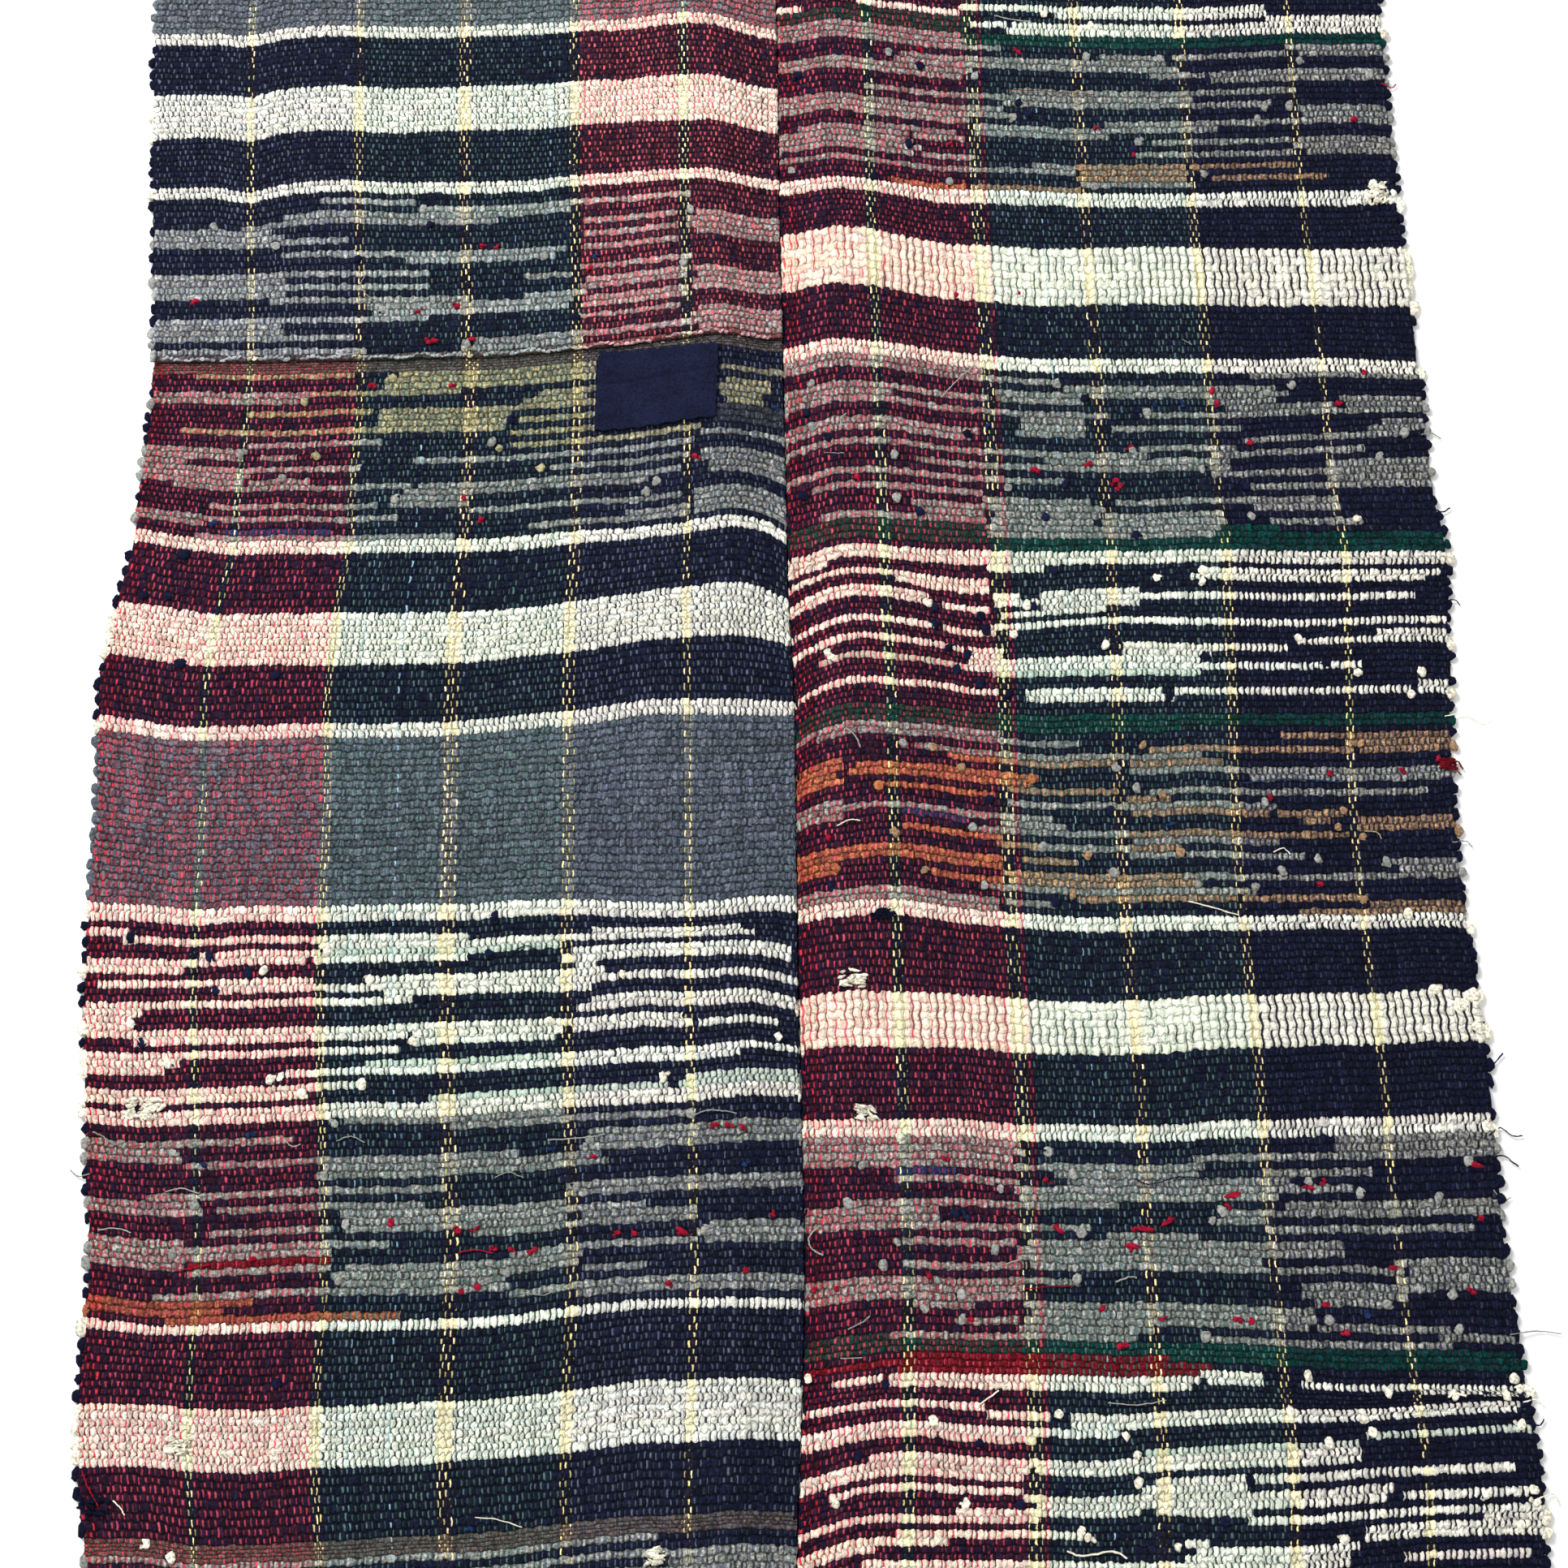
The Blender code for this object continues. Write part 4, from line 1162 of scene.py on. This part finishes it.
LUMPS = lumps_tree(fibre_material("Rag cotton", 700.0, 0.55, 1.3))
SPLIT = 0.19                # what lies beyond this belongs to the upper length
right_lumps = rag_lumps("rag_knots_right_strip", knots("right") + frayed("right")
                        + turns("right", RIGHT, HALF), LUMPS)
left_knots = knots("left") + frayed("left")
upper_lumps = rag_lumps("rag_knots_upper_left", [knot for knot in left_knots if knot.place.y > SPLIT]
                        + turns("left", UPPER_LEFT, HALF) + whip_stitches(), LUMPS)
lower_lumps = rag_lumps("rag_knots_lower_left", [knot for knot in left_knots if knot.place.y <= SPLIT]
                        + turns("left", LOWER_LEFT, LAP_Y)[2:], LUMPS)

# %% [markdown]
# ## Loose threads
# Ends of warp and frayed rag stand out at the right edge and lie on the face. Each is a short path through
# a few points, smoothed and given a round section by a node tree.

# %% Paths of the threads
# Each thread: rag, radius in mm, and its points as place across in hundredths and place along in mm
THREADS = {"left": """
G 0.35 34 235 33 229 34 223 36 220; G 0.35 35 -205 37 -203 39 -206; G 0.35 57 -225 59 -223 61 -226
G 0.4 85 -202 87 -200 89 -201 91 -203; G 0.4 1 -200 2.5 -201.6 4 -205 5.5 -203
G 0.4 27.8 -204 28.8 -207 30 -206; G 0.4 11 -226 13.4 -224.5 15.7 -227
G 0.4 64.5 -209.5 70 -209.5 72.5 -208.5; X 0.35 51.7 -258 54 -257 56.4 -259
G 0.35 61 -278 63.5 -280 65 -279; G 0.35 36 -240 38.4 -241.6; G 0.4 1.4 -246 4.2 -244.5 6 -246
W 0.35 55 -374 58 -375.5 61.5 -380; W 0.4 4.7 -365 5.6 -368 6.1 -371; X 0.5 0.7 -352 1.4 -359 2.5 -367
G 0.4 0.5 -220 -1.4 -221 -2.5 -218; X 0.35 0.4 186 1.5 183 1.2 179; K 0.35 66 196 68 193 70 197
X 0.35 10 -261 13 -262 17 -260; N 0.4 60 -120 62 -117 64 -121""",
           "right": """
G 0.4 30 180 27 170 24.5 160; G 0.4 9.5 147 8.5 144 9 141; G 0.35 6 129 9 127; G 0.5 7.5 -15 9 -20 9.7 -26
W 0.45 58.5 -95 62 -98 66 -102; W 0.4 72 -71 73.5 -69 74.5 -72; W 0.4 6 -64 8 -62 9.5 -63
G 0.45 6 -56 9 -54; U 0.4 68 -37 75 -35 83 -36.5; R 0.4 31 -276 36 -274 38 -274
N 0.4 48 -226 50 -228 54 -225 58 -226.5; G 0.3 42 -325 46 -326.5 50 -325; W 0.5 24 -328 27 -321
W 0.6 36 -389 38 -391 42 -389 44 -392; G 0.5 36 383 39 381 42 380; R 0.3 38 339 45 339 52 338
G 0.5 2 -247 0.5 -252 1 -257 2.5 -260; G 0.5 6 -293 8 -290.5 9 -288; G 0.4 28.5 -265 31 -262
G 0.35 5 -305 8 -306; W 0.7 89 -323 90 -319 91.5 -322; G 0.3 63 197 64.5 194; K 0.4 86 -61 88 -62 88.5 -65
G 0.5 44 -272 46 -270 47 -270.5; G 0.35 99 -292 103 -290.5 106.4 -291.6; X 0.5 99.2 342 101 341 101.8 343
G 0.4 99.2 140 101 142 102.4 139; N 0.5 99.2 103 101 102 102.3 104; N 0.4 99.2 54 101.2 56 102 53
W 0.4 99 -4 102 -2 104.5 -6 106 -4; R 0.6 99 -28 101 -26 101.8 -30; R 0.5 99 -29 101 -31 101.5 -33
G 0.4 99.2 -67 101.5 -66 102.3 -69; N 0.45 99.2 -179 101 -178 102.6 -173
N 0.45 99.2 -210 101.1 -206.5 102.8 -210 104.2 -210; N 0.45 99.2 -219.5 101.3 -218.5 103.3 -223
G 0.4 99.2 -233 100.4 -237 101.8 -236; W 0.4 99.2 -331 101.3 -329 102.2 -333
N 0.5 99.2 -341 101 -343 101.8 -340; W 0.45 99.2 -373 101.4 -371 102.2 -375"""}


def threads(strip):
    """Each loose thread's points, radius in mm and rag."""
    found = []
    for line in filter(str.strip, re.split(r"[;\n]", THREADS[strip])):
        kind, radius, *numbers = line.split()
        places = zip(map(float, numbers[::2]), map(float, numbers[1::2]))
        points = [on_cloth(strip, a / 100, y, 1.0 if 0 < a < 100 else -1.5) for a, y in places]
        found.append((points, float(radius), kind))
    return found

# %% Loose threads
def thread_tree(material):
    """A tube along each path, as thick as the path's points say."""
    tree, given = geometry_tree("Thread section", Sides=6.0)
    thick = attribute(tree, "thick")
    path = node(tree, "GeometryNodeMeshToCurve", given["Geometry"])
    path = node(tree, "GeometryNodeSetCurveRadius", path, None, thick)
    ring = node(tree, "GeometryNodeCurvePrimitiveCircle", given["Sides"], named={"Radius": 1.0})
    return end_painted(node(tree, "GeometryNodeCurveToMesh", path, ring, thick, True), material)


def loose_threads(name, lines, tree):
    """One piece of many threads, each a smooth path that wavers a little."""
    verts, edges, thick, tints = [], [], [], []
    for points, radius, kind in lines:
        t = np.arange(len(points), dtype=float)
        fine = np.linspace(0, t[-1], 6 * (len(points) - 1) + 1)
        path = curve(t, np.array([point[:] for point in points]), fine)
        path[1:-1, :2] += chance.normal(0, 0.12 * mm, (len(path) - 2, 2))
        shade = dice.uniform(0.8, 1.2) if kind != "N" else dice.uniform(1.0, 2.2)
        first = len(verts)
        verts += path.tolist()
        edges += [(first + k, first + k + 1) for k in range(len(path) - 1)]
        thick += (0.75 * radius * mm * chance.uniform(0.75, 1.2, len(path))).tolist()
        tints += [[*(min(1, c) for c in shaded(kind, shade)), 1.0]] * len(path)
    piece = new_piece(name, verts, edges, [])
    give(piece.data, "thick", thick)
    give(piece.data, "tint", tints, "FLOAT_COLOR")
    mesh = bake(piece, tree, Sides=6)
    print(name, len(lines), "threads,", len(mesh.polygons), "faces, size", size_in_mm(piece))
    return piece


SECTION = thread_tree(fibre_material("Loose thread", 900.0, 0.8, 1.15))
left_threads = threads("left")
right_threads = loose_threads("loose_threads_right_strip", threads("right"), SECTION)
above_lap = [points[0].y > SPLIT for points, _, _ in left_threads]
upper_lines = [line for line, above in zip(left_threads, above_lap) if above]
lower_lines = [line for line, above in zip(left_threads, above_lap) if not above]
upper_threads = loose_threads("loose_threads_upper_left", upper_lines, SECTION)
lower_threads = loose_threads("loose_threads_lower_left", lower_lines, SECTION)

# %% [markdown]
# ## The patch
# A small piece of plain navy cotton laid on the left strip just below the lap. Its edges are torn, not
# hemmed, and creases cross it. A fine grid takes the creases, and Solidify gives it its thickness.

# %% Patch
# Corners, back left first and then clockwise
PATCH = ((-0.0962, 0.1900), (-0.0352, 0.1895), (-0.0361, 0.1496), (-0.0973, 0.1465))
PATCH_THICK = 1.0 * mm
# Place down the patch, slope, depth in mm and width
CREASES = ((0.39, -0.10, 0.9, 0.035), (0.58, -0.03, 0.45, 0.03), (0.16, 0.05, 0.35, 0.05))


def crease_lift(s, t):
    """Lift in mm at a place across and down the patch: a groove with a soft rise below it."""
    fold = 0.0
    for place, slope, depth, width in CREASES:
        away = (t - place - slope * (s - 0.5)) / width
        fold += depth * (math.exp(-(away - 0.8) ** 2) * 0.6 - math.exp(-away * away))
    return fold * min(1.0, 6 * s + 0.3)


def patch(columns, rows):
    """The patch on its place, as a fine grid with a thickness."""
    back_left, back_right, front_right, front_left = (Vector(corner) for corner in PATCH)
    places = [(i / columns, j / rows) for j in range(rows + 1) for i in range(columns + 1)]
    xy = np.array([back_left.lerp(front_left, t).lerp(back_right.lerp(front_right, t), s) for s, t in places])
    lift = np.array([crease_lift(s, t) for s, t in places])
    # Torn edges
    i, j = np.arange(columns + 1), np.arange(rows + 1)
    torn = np.zeros((rows + 1, columns + 1, 2))
    torn[0, :, 1] = 0.35 * np.sin(i * 0.55)
    torn[-1, :, 1] = 0.45 * np.sin(i * 0.4 + 1) + chance.normal(0, 0.12, len(i))
    torn[:, -1, 0] = 0.35 * np.sin(j * 0.7) + chance.normal(0, 0.12, len(j))
    torn[:, 0, 0] = 0.35 * np.sin(j * 0.5) + chance.normal(0, 0.12, len(j))
    xy = xy + torn.reshape(-1, 2) * mm
    z = ridge(xy[:, 0], xy[:, 1]) + CLOTH + CLEARANCE + PATCH_THICK + lift * mm
    grid = np.arange(len(places)).reshape(rows + 1, columns + 1)
    faces = np.stack([grid[1:, :-1], grid[1:, 1:], grid[:-1, 1:], grid[:-1, :-1]], -1).reshape(-1, 4).tolist()
    piece = new_piece("navy_patch", np.column_stack([xy, z]).tolist(), [], faces)
    piece.data.shade_smooth()
    thickness = piece.modifiers.new("Thickness", "SOLIDIFY")
    thickness.thickness, thickness.offset = PATCH_THICK, 0.0
    keep_result(piece, thickness)
    return piece


def cotton_material():
    """Plain navy cotton, a little worn."""
    material, tree, shader = new_material("Navy cotton", 0.95, 0.08)
    spot = node(tree, "ShaderNodeTexCoord", out="Object")
    cloth, worn = noise(tree, spot, 900.0, 2.0), noise(tree, spot, 90.0, 2.0)
    tone = step(cloth, 0.3, 0.7, 0.7, 1.35) * step(worn, 0.3, 0.7, 0.85, 1.15)
    finish_shader(shader, times((*linear(20, 24, 46), 1), tone), cloth, 0.6, 0.3 * mm)
    return material


navy_patch = patch(110, 76)
dress(navy_patch, cotton_material())
print("patch", size_in_mm(navy_patch), "mm")

# %% [markdown]
# ## The frame
# Each woven length and the patch take the place of their solids. All of the cloth, with its knots and
# threads, is one body.

# %% Frame
body = "root"
for piece, solid, slot in ((upper, "left_upper_length", "rag_weave_turned"),
                           (lower, "left_lower_length", "rag_weave_left"),
                           (right, "right_strip", "rag_weave_right"), (navy_patch, "patch", "navy_cotton")):
    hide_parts(solid)
    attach(piece, body)
for piece, slot in ((upper_lumps, "rag_weave_turned"), (upper_threads, "rag_weave_turned"),
                    (lower_lumps, "rag_weave_left"), (lower_threads, "rag_weave_left"),
                    (right_lumps, "rag_weave_right"), (right_threads, "rag_weave_right")):
    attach(piece, body)

# %% [markdown]
# ## Floor, light and camera
# The cloth lies on a white floor. One soft lamp from the back left shows the relief of the weave, and a
# pale world fills the shadows. The camera looks down, tilted a little from the front, as in the photograph.

# %% Floor, light and camera
FLOOR_Z = -0.4 * mm
FLOOR_SIDE = 4
corners = [(x * FLOOR_SIDE, y * FLOOR_SIDE, FLOOR_Z) for x, y in ((-1, -1), (1, -1), (1, 1), (-1, 1))]
floor = new_piece("Floor", corners, [], [(0, 1, 2, 3)])
paper, _, paper_shader = new_material("White paper", 1.0, 0.5)
paper_shader.inputs["Base Color"].default_value = (0.95, 0.95, 0.95, 1)
dress(floor, paper)

scene = bpy.context.scene
lamp = bpy.data.objects.new("Key", bpy.data.lights.new("Key", "AREA"))
lamp.data.shape, lamp.data.size, lamp.data.energy = "SQUARE", 0.9, 62
lamp.location = (-1.3, 1.2, 2.0)
lamp.rotation_euler = (-lamp.location).to_track_quat("-Z", "Y").to_euler()
scene.collection.objects.link(lamp)
scene.world = bpy.data.worlds.new("World")
scene.world.use_nodes = True
sky = scene.world.node_tree.nodes["Background"]
sky.inputs["Color"].default_value, sky.inputs["Strength"].default_value = (1, 1, 1, 1), 0.75

scene.view_settings.view_transform = "Standard"
IMAGE_SIDE, FOCAL = 1932, 2850      # in pixels
TILT, AWAY = math.radians(15), 1.1163
camera = bpy.data.objects.new("Camera", bpy.data.cameras.new("Camera"))
camera.location = (-0.0022, -0.037 - AWAY * math.sin(TILT), 0.003 + AWAY * math.cos(TILT))
camera.rotation_euler = (TILT, 0, 0)
camera.data.angle = 2 * math.atan(IMAGE_SIDE / 2 / FOCAL)
scene.collection.objects.link(camera)
scene.camera = camera
print("camera", round(AWAY, 3), "m away, angle", round(math.degrees(camera.data.angle), 1))
